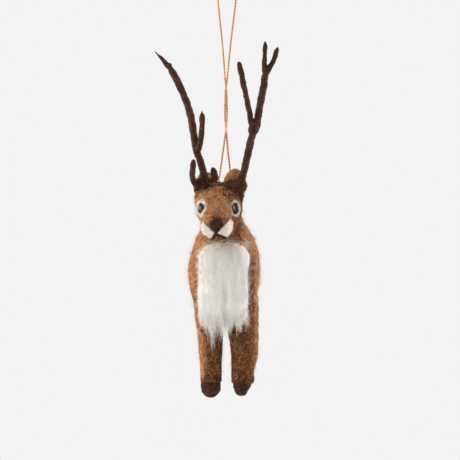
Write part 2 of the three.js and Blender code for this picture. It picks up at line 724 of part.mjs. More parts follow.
function threadTube(start, end) {
  const steps = Math.ceil(((end - start) * threadLength) / THREAD_STEP);
  const spots = [];
  for (let i = 0; i <= steps; i++) spots.push(threadCurve.getPointAt(start + ((end - start) * i) / steps));
  const section = new THREE.Shape().absarc(0, 0, THREAD_DIAMETER / 2, 0, 2 * Math.PI);
  const extrudePath = new THREE.CatmullRomCurve3(spots);
  return solid(new THREE.ExtrudeGeometry(section, { steps, extrudePath, curveSegments: 4 }));
}

const partingGap = FIT / 2 / threadLength;
const rising = twistShare(0, 0.5);
const falling = twistShare(0.5, 1);
add("thread_loop", threadTube(rising + partingGap, falling - partingGap), tanThread, thread);
add("thread_strand_right", threadTube(0, rising - partingGap), tanThread, thread);
add("thread_strand_left", threadTube(falling + partingGap, 1), tanThread, thread);

const exits = [RIGHT_EXIT, LEFT_EXIT].map(vector);
const under = (exit, drop) => exit.clone().setZ(exit.z - drop);
const stitchForm = {
  spine: [
    under(exits[0], FIT),
    under(exits[0], STITCH_DEPTH / 2),
    under(exits[0].clone().lerp(exits[1], 0.5), STITCH_DEPTH),
    under(exits[1], STITCH_DEPTH / 2),
    under(exits[1], FIT),
  ],
  girths: [THREAD_DIAMETER / 2, THREAD_DIAMETER / 2],
  rounding: [THREAD_DIAMETER / 2, THREAD_DIAMETER / 2],
  sides: 8,
  rings: 12,
  capRings: 1,
};
const exitHoles = exits.map((exit) => {
  const hole = new THREE.CylinderGeometry(EXIT_HOLE / 2, EXIT_HOLE / 2, STITCH_DEPTH, 12);
  return solid(hole.rotateX(Math.PI / 2).translate(exit.x, exit.y, exit.z + STITCH_DEPTH / 2 - 2 * FIT));
});
add("thread_stitch", roll(stitchForm), tanThread);
const torso = roll(torsoForm).add(roll(neckForm));
add("torso", cut(torso, headSpace, roll(stitchForm, FIT), ...exitHoles), caramelWool);

const ornament = new THREE.Group();
ornament.add(figure, leftAntler, rightAntler, thread);
ornament.position.z = -HANG_HEIGHT;

export default ornament;
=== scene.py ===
# %% [markdown]
# # A felted reindeer on a thread
# The real object is a small figure of needle-felted wool: loose wool that is stabbed with a barbed needle
# until its fibres lock into a firm lump. The antlers are wire with wool wound round it, and the chest is a
# tuft of combed white wool. The frame gives every lump its size and place. This script gives it its
# surface: soft lumps, and fibres that stand off them.

# %% Load the frame
import itertools
import json
import math
import random
from contextlib import contextmanager

import bmesh
import bpy
from mathutils import Matrix, Vector, geometry, noise
from mathutils.bvhtree import BVHTree
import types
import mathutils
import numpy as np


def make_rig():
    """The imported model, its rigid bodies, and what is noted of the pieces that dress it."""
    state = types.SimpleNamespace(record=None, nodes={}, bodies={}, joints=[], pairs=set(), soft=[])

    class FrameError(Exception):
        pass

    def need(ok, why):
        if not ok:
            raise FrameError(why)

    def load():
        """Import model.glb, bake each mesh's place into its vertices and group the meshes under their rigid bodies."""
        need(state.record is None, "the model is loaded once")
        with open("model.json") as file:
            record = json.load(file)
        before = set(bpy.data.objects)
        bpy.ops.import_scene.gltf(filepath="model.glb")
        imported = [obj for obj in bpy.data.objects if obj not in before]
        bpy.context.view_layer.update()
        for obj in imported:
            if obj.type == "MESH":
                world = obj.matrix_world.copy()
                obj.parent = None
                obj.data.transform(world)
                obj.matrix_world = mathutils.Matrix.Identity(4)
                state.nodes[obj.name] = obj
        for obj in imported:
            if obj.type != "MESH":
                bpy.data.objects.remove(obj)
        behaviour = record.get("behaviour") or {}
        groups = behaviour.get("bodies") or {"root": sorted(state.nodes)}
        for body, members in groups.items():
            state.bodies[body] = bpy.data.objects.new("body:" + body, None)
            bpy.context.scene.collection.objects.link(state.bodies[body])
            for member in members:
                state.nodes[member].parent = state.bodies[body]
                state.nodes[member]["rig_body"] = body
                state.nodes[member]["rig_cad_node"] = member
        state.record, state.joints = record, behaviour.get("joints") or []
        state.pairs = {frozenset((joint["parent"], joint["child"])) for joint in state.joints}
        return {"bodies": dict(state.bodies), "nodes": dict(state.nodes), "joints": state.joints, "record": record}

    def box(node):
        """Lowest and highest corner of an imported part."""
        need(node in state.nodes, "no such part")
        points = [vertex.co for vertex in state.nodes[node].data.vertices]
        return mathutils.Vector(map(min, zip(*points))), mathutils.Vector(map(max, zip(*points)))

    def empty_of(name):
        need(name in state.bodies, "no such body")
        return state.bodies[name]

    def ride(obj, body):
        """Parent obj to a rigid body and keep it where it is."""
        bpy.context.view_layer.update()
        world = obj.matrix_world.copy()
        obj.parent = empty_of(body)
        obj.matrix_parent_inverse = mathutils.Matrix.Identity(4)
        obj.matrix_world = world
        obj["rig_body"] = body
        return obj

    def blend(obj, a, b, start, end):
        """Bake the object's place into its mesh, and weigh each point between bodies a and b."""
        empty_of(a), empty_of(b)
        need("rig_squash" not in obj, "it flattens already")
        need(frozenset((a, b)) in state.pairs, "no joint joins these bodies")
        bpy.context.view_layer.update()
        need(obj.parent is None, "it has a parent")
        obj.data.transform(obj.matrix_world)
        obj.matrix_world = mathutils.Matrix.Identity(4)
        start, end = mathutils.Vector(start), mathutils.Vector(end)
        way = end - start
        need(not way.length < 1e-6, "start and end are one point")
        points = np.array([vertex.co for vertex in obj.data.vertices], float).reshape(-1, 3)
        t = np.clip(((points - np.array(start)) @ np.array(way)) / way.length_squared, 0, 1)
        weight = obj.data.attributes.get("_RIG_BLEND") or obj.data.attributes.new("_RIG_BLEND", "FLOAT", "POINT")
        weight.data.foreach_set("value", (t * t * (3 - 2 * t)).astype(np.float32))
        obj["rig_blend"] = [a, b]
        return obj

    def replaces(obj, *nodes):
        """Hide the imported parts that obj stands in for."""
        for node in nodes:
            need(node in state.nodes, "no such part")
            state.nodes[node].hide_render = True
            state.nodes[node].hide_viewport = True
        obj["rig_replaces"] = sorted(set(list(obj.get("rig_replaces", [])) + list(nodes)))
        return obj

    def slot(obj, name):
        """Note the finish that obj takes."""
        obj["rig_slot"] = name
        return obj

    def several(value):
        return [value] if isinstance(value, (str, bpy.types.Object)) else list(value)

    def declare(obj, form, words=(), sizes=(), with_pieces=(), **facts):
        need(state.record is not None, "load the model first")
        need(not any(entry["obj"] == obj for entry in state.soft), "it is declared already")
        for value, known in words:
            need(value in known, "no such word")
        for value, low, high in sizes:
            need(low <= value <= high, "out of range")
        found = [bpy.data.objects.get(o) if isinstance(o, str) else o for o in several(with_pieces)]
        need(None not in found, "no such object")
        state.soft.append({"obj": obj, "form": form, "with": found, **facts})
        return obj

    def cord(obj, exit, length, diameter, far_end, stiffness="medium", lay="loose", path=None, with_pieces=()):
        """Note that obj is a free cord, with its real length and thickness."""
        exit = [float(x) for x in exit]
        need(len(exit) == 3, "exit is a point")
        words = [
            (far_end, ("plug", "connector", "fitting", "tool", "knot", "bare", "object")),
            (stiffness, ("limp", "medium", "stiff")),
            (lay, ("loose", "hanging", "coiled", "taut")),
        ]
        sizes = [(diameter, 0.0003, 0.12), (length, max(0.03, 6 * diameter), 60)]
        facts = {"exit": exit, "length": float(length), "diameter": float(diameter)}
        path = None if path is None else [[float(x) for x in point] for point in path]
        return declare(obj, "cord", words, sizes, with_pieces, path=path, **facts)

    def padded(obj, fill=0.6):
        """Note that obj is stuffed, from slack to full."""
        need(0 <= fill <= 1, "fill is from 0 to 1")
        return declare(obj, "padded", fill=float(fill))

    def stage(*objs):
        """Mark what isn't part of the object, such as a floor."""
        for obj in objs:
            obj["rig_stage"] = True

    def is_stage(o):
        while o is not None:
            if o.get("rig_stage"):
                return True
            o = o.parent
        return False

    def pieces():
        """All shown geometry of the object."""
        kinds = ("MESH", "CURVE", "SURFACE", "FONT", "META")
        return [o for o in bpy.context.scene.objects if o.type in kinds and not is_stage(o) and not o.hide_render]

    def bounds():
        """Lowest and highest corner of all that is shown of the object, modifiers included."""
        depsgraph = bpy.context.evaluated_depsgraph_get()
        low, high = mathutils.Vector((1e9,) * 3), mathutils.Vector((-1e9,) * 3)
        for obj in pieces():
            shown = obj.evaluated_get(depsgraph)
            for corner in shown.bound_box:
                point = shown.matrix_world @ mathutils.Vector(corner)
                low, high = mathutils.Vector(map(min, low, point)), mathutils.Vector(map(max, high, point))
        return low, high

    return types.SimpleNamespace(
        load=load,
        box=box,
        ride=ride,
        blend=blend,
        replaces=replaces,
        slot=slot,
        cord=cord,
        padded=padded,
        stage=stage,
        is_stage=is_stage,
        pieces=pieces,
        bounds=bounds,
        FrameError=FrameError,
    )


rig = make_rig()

MM = 0.001
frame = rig.load()
cad_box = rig.bounds()
scene = bpy.context.scene
print("solids in the frame:", len(frame["nodes"]))

# %% [markdown]
# Three small steps come up again and again below.

# %% Helpers for objects and meshes
def add_object(name, data):
    """A new object in the scene."""
    thing = bpy.data.objects.new(name, data)
    scene.collection.objects.link(thing)
    return thing


@contextmanager
def opened(mesh):
    """A mesh that is open for editing, and is written back at the end."""
    bm = bmesh.new()
    bm.from_mesh(mesh)
    yield bm
    bm.to_mesh(mesh)
    bm.free()


def mesh_as_shown(thing):
    """The mesh of an object as its modifiers show it."""
    return bpy.data.meshes.new_from_object(thing.evaluated_get(bpy.context.evaluated_depsgraph_get()))


print("scene:", scene.name)

# %% [markdown]
# ## The camera
# The photograph looks straight at the figure from about a metre away, a little from the figure's own left.
# A long lens keeps the legs and antlers from spreading. The picture is 230 mm wide at the thread, which
# gives the lens directly.

# %% Camera
TURN = math.radians(5)
DISTANCE = 800 * MM
PICTURE_WIDTH = 230 * MM
SENSOR_WIDTH = 36
EYE_LEVEL = -129.1 * MM
EYE_SHIFT = 2 * MM
across = Vector((math.cos(TURN), math.sin(TURN), 0))
ahead = Vector((-math.sin(TURN), math.cos(TURN), 0))
camera_data = bpy.data.cameras.new("camera")
camera_data.sensor_width = SENSOR_WIDTH
camera_data.lens = SENSOR_WIDTH * DISTANCE / PICTURE_WIDTH
camera = add_object("camera", camera_data)
camera.location = across * EYE_SHIFT - ahead * DISTANCE + Vector((0, 0, EYE_LEVEL))
camera.rotation_euler = (math.pi / 2, 0, TURN)
scene.camera = camera
scene.view_settings.view_transform = "Standard"
print("lens in millimetres:", round(camera_data.lens, 1))

# %% [markdown]
# ## Colours and nodes
# Colours are written in hex, as they look on a screen, and one function turns them into linear light.
# Another adds a node with its settings and links, and three more make what most materials here need: a
# shader, a noise and a ramp from a dark to a light colour.

# %% Helpers for materials
def linear(hex_colour):
    """The linear RGBA of a colour written as #rrggbb."""
    parts = [int(hex_colour[i : i + 2], 16) / 255 for i in (1, 3, 5)]
    light = [p / 12.92 if p <= 0.04045 else ((p + 0.055) / 1.055) ** 2.4 for p in parts]
    return (*light, 1)


def add_node(tree, kind, settings, links=None):
    """Adds a node with settings for its inputs and properties, and links to its inputs."""
    node = tree.nodes.new(kind)
    for name, value in settings.items():
        if name in node.inputs:
            node.inputs[name].default_value = value
        else:
            setattr(node, name, value)
    for name, socket in (links or {}).items():
        tree.links.new(socket, node.inputs[name])
    return node


def new_material(name, settings):
    """A material, with its nodes and its shader, which is set as given."""
    material = bpy.data.materials.new(name)
    material.use_nodes = True
    shader = material.node_tree.nodes["Principled BSDF"]
    for setting, value in settings.items():
        shader.inputs[setting].default_value = value
    return material, material.node_tree, shader


def noise_node(tree, size_mm, detail, **settings):
    """A noise in the object's own space, with lumps of a size."""
    place = add_node(tree, "ShaderNodeTexCoord", {}).outputs["Object"]
    settings = {"Scale": 1 / (size_mm * MM), "Detail": detail, **settings}
    return add_node(tree, "ShaderNodeTexNoise", settings, {"Vector": place})


def ramp_node(tree, value, dark, light, start=0, end=1):
    """A ramp from a dark to a light colour."""
    ramp = add_node(tree, "ShaderNodeValToRGB", {}, {"Fac": value})
    for stop, position, colour in zip(ramp.color_ramp.elements, (start, end), (dark, light)):
        stop.position = position
        stop.color = linear(colour)
    return ramp


print("mid grey in linear light:", round(linear("#808080")[0], 3))

# %% [markdown]
# ## Light
# The studio is bright all round, with a large soft lamp on the left that leaves the right in soft shade.
# The world is dimmer for lighting than it looks to the camera, so the background is pale without washing
# out the wool. Glossy rays see the pale world too: at a grazing angle each fibre mirrors some of it, which
# makes the fuzz along an edge shine.

# %% World
BACKGROUND = "#f3f3f3"
WORLD_LIGHT = 0.62
world = bpy.data.worlds.new("studio")
scene.world = world
world.use_nodes = True
tree = world.node_tree
seen = add_node(tree, "ShaderNodeLightPath", {})
rays = {0: seen.outputs["Is Camera Ray"], 1: seen.outputs["Is Glossy Ray"]}
pale = add_node(tree, "ShaderNodeMath", {"operation": "MAXIMUM"}, rays)
levels = {"To Min": WORLD_LIGHT, "To Max": 1}
strength = add_node(tree, "ShaderNodeMapRange", levels, {"Value": pale.outputs[0]})
tree.nodes["Background"].inputs["Color"].default_value = linear(BACKGROUND)
tree.links.new(strength.outputs["Result"], tree.nodes["Background"].inputs["Strength"])
print("world light:", WORLD_LIGHT)

# %% [markdown]
# All the lamps point at the chest. The catch light falls on the eyes alone, for their glint. The floor is
# white paper, so far below the hooves that no shadow shows on it.

# %% Lamps and floor
CHEST = Vector((0, 0, -0.14))


def lamp(name, place, size, power):
    """A square soft lamp that points at the chest."""
    data = bpy.data.lights.new(name, "AREA")
    data.size = size
    data.energy = power
    thing = add_object(name, data)
    thing.location = place
    thing.rotation_euler = (CHEST - Vector(place)).to_track_quat("-Z", "Y").to_euler()
    return thing


lamp("left_softbox", (-0.85, 0.05, 0.2), size=0.8, power=15)
lamp("right_softbox", (0.85, 0.3, 0.2), size=0.8, power=14)
lamp("front_softbox", (-0.45, -0.85, 0.4), size=0.6, power=2)
catch_light = lamp("catch_light", (-0.5, -0.85, 0.1), size=1, power=32)
lit_by_catch_light = bpy.data.collections.new("eyes")
catch_light.light_linking.receiver_collection = lit_by_catch_light

FLOOR_DROP = 200 * MM
FLOOR_RADIUS = 1.1
floor = add_object("floor", bpy.data.meshes.new("floor"))
with opened(floor.data) as bm:
    bmesh.ops.create_circle(bm, cap_ends=True, segments=64, radius=FLOOR_RADIUS)
    bmesh.ops.translate(bm, verts=bm.verts, vec=(0, 0, cad_box[0].z - FLOOR_DROP))
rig.stage(floor)
paper, _, _ = new_material("white_paper", {"Base Color": linear(BACKGROUND), "Roughness": 0.9})
floor.data.materials.append(paper)
print("floor below the hooves, in metres:", FLOOR_DROP)

# %% [markdown]
# ## The thread
# Cotton thread of two plies, tan, just under a millimetre thick. It comes out of the upper back, goes up
# to the hook and down again, and the two runs are wound once round each other above the head. The line's
# points are the same as the solid's.

# %% Thread line
HANG_HEIGHT = 211.4
THREAD_DIAMETER = 0.9 * MM
THREAD_STEPS = 24
UP_FROM_BACK = [(-6.7, 0, 87.2), (-5.25, 0, 95.3), (-3.75, 0, 105.8), (-1.75, 0, 119.8)]
WOUND_UP = [
    (-0.75, -0.25, 126.8), (0, -0.55, 132.3), (0.45, -0.35, 137.3), (0.55, 0, 141.8),
    (0.4, 0.4, 147.8), (0, 0.55, 153.3), (-0.6, 0.35, 159.3),
]
LOOP = [
    (-1.6, 0.1, 172.8), (-2.9, 0, 185.8), (-4.1, 0, 197.3), (-5, 0, 203.8), (-4.6, 0, 208.3),
    (-2.6, 0, 211.1), (0, 0, 211.85), (2.8, 0, 211.1),
    (5.1, 0, 208.3), (5.7, 0, 203.8), (5, 0, 197.3), (3.6, 0, 185.8), (2.1, -0.1, 172.8),
]
WOUND_DOWN = [
    (0.8, -0.35, 159.3), (0, -0.55, 153.3), (-0.4, -0.4, 147.8), (-0.55, 0, 141.8),
    (-0.45, 0.35, 137.3), (0, 0.55, 132.3), (0.55, 0.25, 126.8),
]
DOWN_TO_BACK = [(1.2, 0, 119.8), (2.1, 0, 112.3), (3.7, 0, 98.3), (5.2, 0, 87.2)]
THREAD_COURSE = [*UP_FROM_BACK, *WOUND_UP, *LOOP, *WOUND_DOWN, *DOWN_TO_BACK]


def above_soles(spot):
    """A point in millimetres above the soles, as metres below the hanging point."""
    return Vector((spot[0], spot[1], spot[2] - HANG_HEIGHT)) * MM


def smooth_line(points, steps):
    """A smooth line through points, with some steps between each two of them."""
    ends = [points[0], *points, points[-1]]
    line = [points[0]]
    for before, start, end, after in zip(ends, ends[1:], ends[2:], ends[3:]):
        leave = start + (end - before) / 6
        arrive = end - (after - start) / 6
        line.extend(geometry.interpolate_bezier(start, leave, arrive, end, steps + 1)[1:])
    return line


thread_line = smooth_line([above_soles(spot) for spot in THREAD_COURSE], THREAD_STEPS)
thread_length = sum((b - a).length for a, b in zip(thread_line, thread_line[1:]))
print("thread length in millimetres:", round(thread_length / MM))

# %% [markdown]
# A plain tube would look like wire, so each ply is its own thin tube that winds round the thread's line. A
# curve object sweeps the tubes, and its mesh is then taken as it is shown.

# %% Curves into meshes
def curve_piece(name, lines, tones=(), section=None, radius=None):
    """A mesh swept along lines, each with its points, thicknesses and tone number."""
    curve = bpy.data.curves.new(name, "CURVE")
    for tone in tones:
        curve.materials.append(tone)
    curve.dimensions = "3D"
    curve.use_fill_caps = True
    if section:
        curve.bevel_mode = "OBJECT"
        curve.bevel_object = section
    else:
        curve.bevel_depth = radius
        curve.bevel_resolution = 1
    for points, thicknesses, tone in lines:
        spline = curve.splines.new("POLY")
        spline.points.add(len(points) - 1)
        spline.points.foreach_set("co", [c for point in points for c in (*point, 1)])
        spline.points.foreach_set("radius", thicknesses)
        spline.material_index = tone
    swept = add_object(name + ".line", curve)
    mesh = mesh_as_shown(swept)
    mesh.name = name
    bpy.data.objects.remove(swept)
    with opened(mesh) as bm:
        bmesh.ops.recalc_face_normals(bm, faces=bm.faces)
    return add_object(name, mesh)


PLY_RADIUS = 0.34 * MM
PLY_OFFSET = 0.2 * MM
PLY_PITCH = 3 * MM


def ply_line(line, turn):
    """One ply of a twisted thread: a line that winds round another."""
    wound = []
    run = 0
    for i, spot in enumerate(line):
        along = (line[min(i + 1, len(line) - 1)] - line[max(i - 1, 0)]).normalized()
        side = (Vector((0, 1, 0)) - along * along.y).normalized()
        run += (spot - line[max(i - 1, 0)]).length
        angle = turn + 2 * math.pi * run / PLY_PITCH
        wound.append(spot + PLY_OFFSET * (side * math.cos(angle) + along.cross(side) * math.sin(angle)))
    return wound


plies = [ply_line(thread_line, turn) for turn in (0, math.pi)]
thread = curve_piece("hanging_thread", [(ply, [1] * len(ply), 0) for ply in plies], radius=PLY_RADIUS)
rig.cord(
    thread,
    exit=thread_line[0],
    length=thread_length,
    diameter=THREAD_DIAMETER,
    far_end="object",
    stiffness="limp",
    lay="hanging",
    path=thread_line,
)
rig.blend(thread, "hanging_loop", "thread_strands", above_soles((0, 0, 159)), above_soles((0, 0, 125)))
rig.replaces(thread, "thread_loop", "thread_strand_left", "thread_strand_right")
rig.slot(thread, "tan_thread")
print("thread faces:", len(thread.data.polygons))

# %% [markdown]
# ## Wool as a material
# Felted wool is matt, and its surface is a tangle of crimped fibres, some lighter and some darker. A noise
# with strong distortion draws that tangle, at about 0.7 mm, as small bundles of fibres. A broader noise
# draws the patches where one batch of wool was laid over another, and both go through one colour ramp.
# Sheen stands for the fine down that lights up along the edges.

# %% Wool
def wool(name, dark, middle, light, tangle_mm, patch_mm, sheen):
    """Felted wool in three shades."""
    body = {"Roughness": 0.92, "IOR": 1.54, "Specular IOR Level": 0.2}
    down = {"Sheen Weight": sheen, "Sheen Roughness": 0.6, "Sheen Tint": linear(light)}
    material, tree, shader = new_material(name, {**body, **down})
    tangle = noise_node(tree, tangle_mm, detail=4, Roughness=0.65, Distortion=2.2)
    patch = noise_node(tree, patch_mm, detail=2)
    mixed = {"A": tangle.outputs["Fac"], "B": patch.outputs["Fac"]}
    shade = add_node(tree, "ShaderNodeMix", {"data_type": "FLOAT", "Factor": 0.35}, mixed)
    ramp = ramp_node(tree, shade.outputs["Result"], dark, light, start=0.34, end=0.66)
    ramp.color_ramp.elements.new(0.5).color = linear(middle)
    relief = {"Strength": 0.5, "Distance": 0.4 * MM}
    bump = add_node(tree, "ShaderNodeBump", relief, {"Height": tangle.outputs["Fac"]})
    tree.links.new(ramp.outputs["Color"], shader.inputs["Base Color"])
    tree.links.new(bump.outputs["Normal"], shader.inputs["Normal"])
    return material


CARAMEL = ("#643c1f", "#935f37", "#b98a5e")
# Brown wool, which the body also uses as painted shade.
BROWN_AND_SHADE_COLOURS = ("#301809", "#543118", "#7e522e")
DARK_BROWN = ("#20110b", "#3b2217", "#5d3c2a")
WHITE = ("#d3cabd", "#e4ded4", "#f2eee7")
FACE_WHITE = ("#bdb1a3", "#d3cabe", "#e4ded5")
EYE_WHITE = ("#978b7d", "#b0a699", "#c6beb3")
TAN = ("#96603a", "#c48b58", "#dfb288")
caramel_wool = wool("caramel_felted_wool", *CARAMEL, tangle_mm=0.9, patch_mm=7, sheen=0.3)
brown_and_shade_wool = wool("brown_felted_wool", *BROWN_AND_SHADE_COLOURS, tangle_mm=0.9, patch_mm=7, sheen=0.3)
dark_wool = wool("dark_brown_felted_wool", *DARK_BROWN, tangle_mm=0.7, patch_mm=5, sheen=0.15)
white_wool = wool("white_combed_wool", *WHITE, tangle_mm=0.8, patch_mm=8, sheen=0.2)
face_wool = wool("white_felted_wool", *FACE_WHITE, tangle_mm=0.8, patch_mm=4, sheen=0.2)
eye_wool = wool("grey_white_felted_wool", *EYE_WHITE, tangle_mm=0.8, patch_mm=4, sheen=0.2)
tan_cotton = wool("tan_cotton_thread", *TAN, tangle_mm=0.5, patch_mm=9, sheen=0.1)
thread.data.materials.append(tan_cotton)
print("wools:", [m.name for m in (caramel_wool, dark_wool, white_wool)])

# %% [markdown]
# Loose fibres have one shade each, so that a piece of fuzz mixes dark, middle and light ones.

# %% Fibre shades
def fibre(name, colour):
    """A single shade of wool fibre."""
    body = {"Base Color": linear(colour), "Roughness": 0.75, "Specular IOR Level": 0.15}
    return new_material(name, {**body, "Sheen Weight": 0.2, "Sheen Tint": linear(colour)})[0]


def fibres(stem, **shades):
    """A material for each of some shades, from dark to light."""
    return [fibre(f"{stem}_fibre_{shade}", colour) for shade, colour in shades.items()]


caramel_fibres = fibres(
    "caramel", darkest="#371d0e", dark="#54311a", brown="#65391a", middle="#9c663b", light="#cf9a69"
)
dark_fibres = fibres("dark_brown", dark="#21110a", middle="#412619", light="#694735")
white_fibres = fibres("white", shade="#e8e4dd", middle="#eeebe5", light="#f5f4f0")
face_fibres = fibres("face", tan="#cbb59e", shade="#ded5ca", middle="#ebe6de", light="#f6f3ee")
eye_fibres = fibres("eye", tan="#a8937e", shade="#b8afa4", middle="#cbc4bb")
print("fibre shades:", len(caramel_fibres + dark_fibres + white_fibres + face_fibres + eye_fibres))

# %% [markdown]
# ## Felted lumps
# A needle-felted body has no seams: legs, ears and head are stabbed on until they grow into it. So the
# caramel solids are copied, swollen until they touch, and remeshed together on a fine grid of voxels. That
# melts them into one skin. Smoothing rounds the joins, and noise gives the dents that stabbing leaves.

# %% Felting
WELD = 0.005 * MM


def wool_copy(name, nodes, swell):
    """One mesh of welded copies of solids, each swollen by a little."""
    piece = add_object(name, bpy.data.meshes.new(name))
    with opened(piece.data) as bm:
        for node in nodes:
            copied = frame["nodes"][node].data.copy()
            with opened(copied) as part:
                bmesh.ops.remove_doubles(part, verts=part.verts, dist=WELD)
                part.normal_update()
                for vertex in part.verts:
                    vertex.co += vertex.normal * swell
            bm.from_mesh(copied)
            bpy.data.meshes.remove(copied)
    return piece


def shells_of(bm):
    """The separate shells of a mesh, as lists of vertices."""
    left = set(bm.verts)
    shells = []
    while left:
        start = left.pop()
        shell = [start]
        for vertex in shell:
            for edge in vertex.link_edges:
                other = edge.other_vert(vertex)
                if other in left:
                    left.remove(other)
                    shell.append(other)
        shells.append(shell)
    return shells


def felt_up(piece, voxel, rounds):
    """Melts the shells of a piece into one skin and rounds it."""
    remesh = piece.modifiers.new("felting", "REMESH")
    remesh.mode = "VOXEL"
    remesh.voxel_size = voxel
    rolling = piece.modifiers.new("rolling", "SMOOTH")
    rolling.factor = 0.5
    rolling.iterations = rounds
    felted = mesh_as_shown(piece)
    piece.modifiers.clear()
    with opened(felted) as bm:
        for shell in sorted(shells_of(bm), key=len)[:-1]:
            bmesh.ops.delete(bm, geom=shell, context="VERTS")
        for face in bm.faces:
            face.smooth = True
    loose = piece.data
    piece.data = felted
    bpy.data.meshes.remove(loose)
    felted.name = piece.name


def press(piece, rule):
    """Moves every point of a piece by what a rule gives for its place and normal."""
    with opened(piece.data) as bm:
        bm.normal_update()
        for vertex in bm.verts:
            vertex.co += rule(vertex.co, vertex.normal)


def dent(piece, height, size, seed):
    """Presses the skin in and out by noise, whose lumps have a size for each axis."""
    shift = Vector((seed, seed * 1.7, seed * 0.3))

    def rule(spot, normal):
        lump = Vector(place / (length * MM) for place, length in zip(spot, size))
        return normal * height * MM * noise.noise(lump + shift)

    press(piece, rule)


def dress(piece, material, body, slot, nodes):
    """Gives a piece its material, its body, its slot and the solids that it stands for."""
    piece.data.materials.clear()
    piece.data.materials.append(material)
    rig.ride(piece, body)
    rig.slot(piece, slot)
    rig.replaces(piece, *nodes)


LEGS = ["front_left_leg", "front_right_leg", "hind_left_leg", "hind_right_leg"]
CARAMEL_NODES = ["torso", "head", "left_ear", "right_ear", "tail", *LEGS]
FILLERS = ["thread_stitch", "left_wire_anchor", "right_wire_anchor"]
body_wool = wool_copy("caramel_body", CARAMEL_NODES + FILLERS, swell=0.1 * MM)
felt_up(body_wool, voxel=0.6 * MM, rounds=8)
print("body faces:", len(body_wool.data.polygons))

# %% [markdown]
# Felt is shaped with the fingers while it is worked. The right shoulder is pressed in under the head,
# the crown is broad, the muzzle narrows below the right eye, the left thigh is full on its inner side,
# and the left leg hangs over its hoof.

# %% Shaping the body
def ease(value, start, end):
    """A smooth step from 0 at the start to 1 at the end."""
    share = min(1, max(0, (value - start) / (end - start)))
    return share * share * (3 - 2 * share)


def height_of(spot):
    """The height of a point above the hoof soles, in millimetres."""
    return spot.z / MM + HANG_HEIGHT


def shaped_by_hand(spot, normal):
    """The presses that give the body its outline."""
    height = height_of(spot)
    x = spot.x / MM
    y = spot.y / MM
    shoulder = ease(height, 60, 78) * ease(height, 92, 84) * ease(y, -27, -21)
    inwards = (1.7 * ease(-x, 5, 15) - 0.2 * ease(x, 7, 11)) * shoulder
    right_side = ease(-x, 6, 12) * ease(y, -8, -14)
    crown = -1.4 * right_side * ease(height, 94, 101)
    muzzle = 1.6 * right_side * ease(height, 91, 84) * ease(y, -20, -26)
    ankle = ease(height, 17, 9) * ease(y, 0, -4) * ease(x, 2, 4)
    thigh = -1.1 * ease(height, 22, 34) * ease(height, 44, 40) * ease(x, 7, 2.5) * ease(x, 0, 1.5)
    sideways = inwards + crown + muzzle + thigh + 0.9 * ankle * ease(x, 9, 13)
    return Vector((sideways, 0, -1.3 * ankle)) * MM


press(body_wool, shaped_by_hand)
dent(body_wool, height=0.4, size=(9, 9, 9), seed=1)
dent(body_wool, height=0.25, size=(2.5, 2.5, 2.5), seed=2)
dress(body_wool, caramel_wool, "figure", "caramel_wool", CARAMEL_NODES)
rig.padded(body_wool, fill=1)
print("body size in millimetres:", [round(side / MM, 1) for side in body_wool.dimensions])

# %% [markdown]
# Two batches of wool were used. The legs are of the browner one, and some of it is on the left brow round the
# antler's root. The same brown is also painted shade: on the legs under the body, where painted light keeps
# their lit outer side and back caramel, and on the left of the muzzle and the temple. Along the ruff it is
# partly brown wool and partly painted shade in the crease beside it, and it is browner under the chin.

# %% Brown wool and painted shade
LEG_LINE = above_soles((0, 0, 40)).z
RAGGED_SIZE = 2.5 * MM
RAGGED_SHIFTS = [Vector((9.3, -1.5, -7.9)), Vector((0, 0, 0)), Vector((6.3, 0.2, -2.7))]


def brown_wool_and_shade(spot):
    """The share of brown at a spot, from 0 to 1, with uneven borders: brown wool and painted shade."""
    ragged_x, ragged_y, ragged_z = (noise.noise(spot / RAGGED_SIZE + shift) for shift in RAGGED_SHIFTS)
    height = height_of(spot) + 1.2 * ragged_z
    x = spot.x / MM + 1.2 * ragged_x
    y = spot.y / MM + 2 * ragged_y
    # Brown wool and painted shade on the legs; painted light keeps their lit outer side and back caramel.
    lit = max(0.75 * ease(x, -6, -11), 0.65 * ease(y, -6, 0))
    legs = ease(height, 45, 35) * (1 - lit)
    brow = 0.9 * ease(math.hypot(x - 6.5, 1.1 * (height - 100.5)), 8.5, 3) * ease(y, -8, -12)
    # Painted shade on the left of the muzzle and the temple.
    muzzle = ease(x, 4.5, 6.5) * ease(x, 9.8, 8.6) * ease(height, 92, 88) * ease(height, 74, 77)
    muzzle *= ease(y, -11, -15)
    temple = 0.6 * ease(x, 2, 6) * ease(height, 83, 87) * ease(y, -8, -16)
    chin = 0.7 * ease(height, 80, 78) * ease(height, 72, 74) * ease(y, -12, -16) * ease(abs(x), 11, 5)
    # Along the ruff: brown wool, and painted shade in the crease beside it.
    front = ease(y, -3, -11) * ease(height, 30, 38) * ease(height, 74, 66)
    beside_left = front * ease(x, 10, 12) * ease(x, 16, 14.6)
    beside_right = 0.3 * front * ease(x, -10, -12) * ease(x, -16, -14.4)
    return max(legs, brow, muzzle, temple, chin, beside_left, beside_right)


# The brown faces are brown wool and painted shade.
body_wool.data.materials.append(brown_and_shade_wool)
for face in body_wool.data.polygons:
    share = brown_wool_and_shade(face.center) + 0.5 * noise.noise(face.center / (2 * MM))
    face.material_index = 1 if share > 0.5 else 0
print("browner faces:", sum(face.material_index for face in body_wool.data.polygons))

# %% [markdown]
# The dark hooves, the white cheeks, the nose and the mouth are thin layers of wool that are stabbed onto
# the caramel. Each is felted by itself, on a finer grid, so that its outline stays clear.

# %% Hooves
def felt_piece(node, material, slot, swell, voxel, rounds, dents):
    """A small felted piece of the figure, made from its solid: sizes in millimetres."""
    piece = wool_copy(node + "_felt", [node], swell * MM)
    felt_up(piece, voxel * MM, rounds)
    dent(piece, dents, (2.2, 2.2, 2.2), len(node))
    dress(piece, material, "figure", slot, [node])
    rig.padded(piece, fill=1)
    return piece


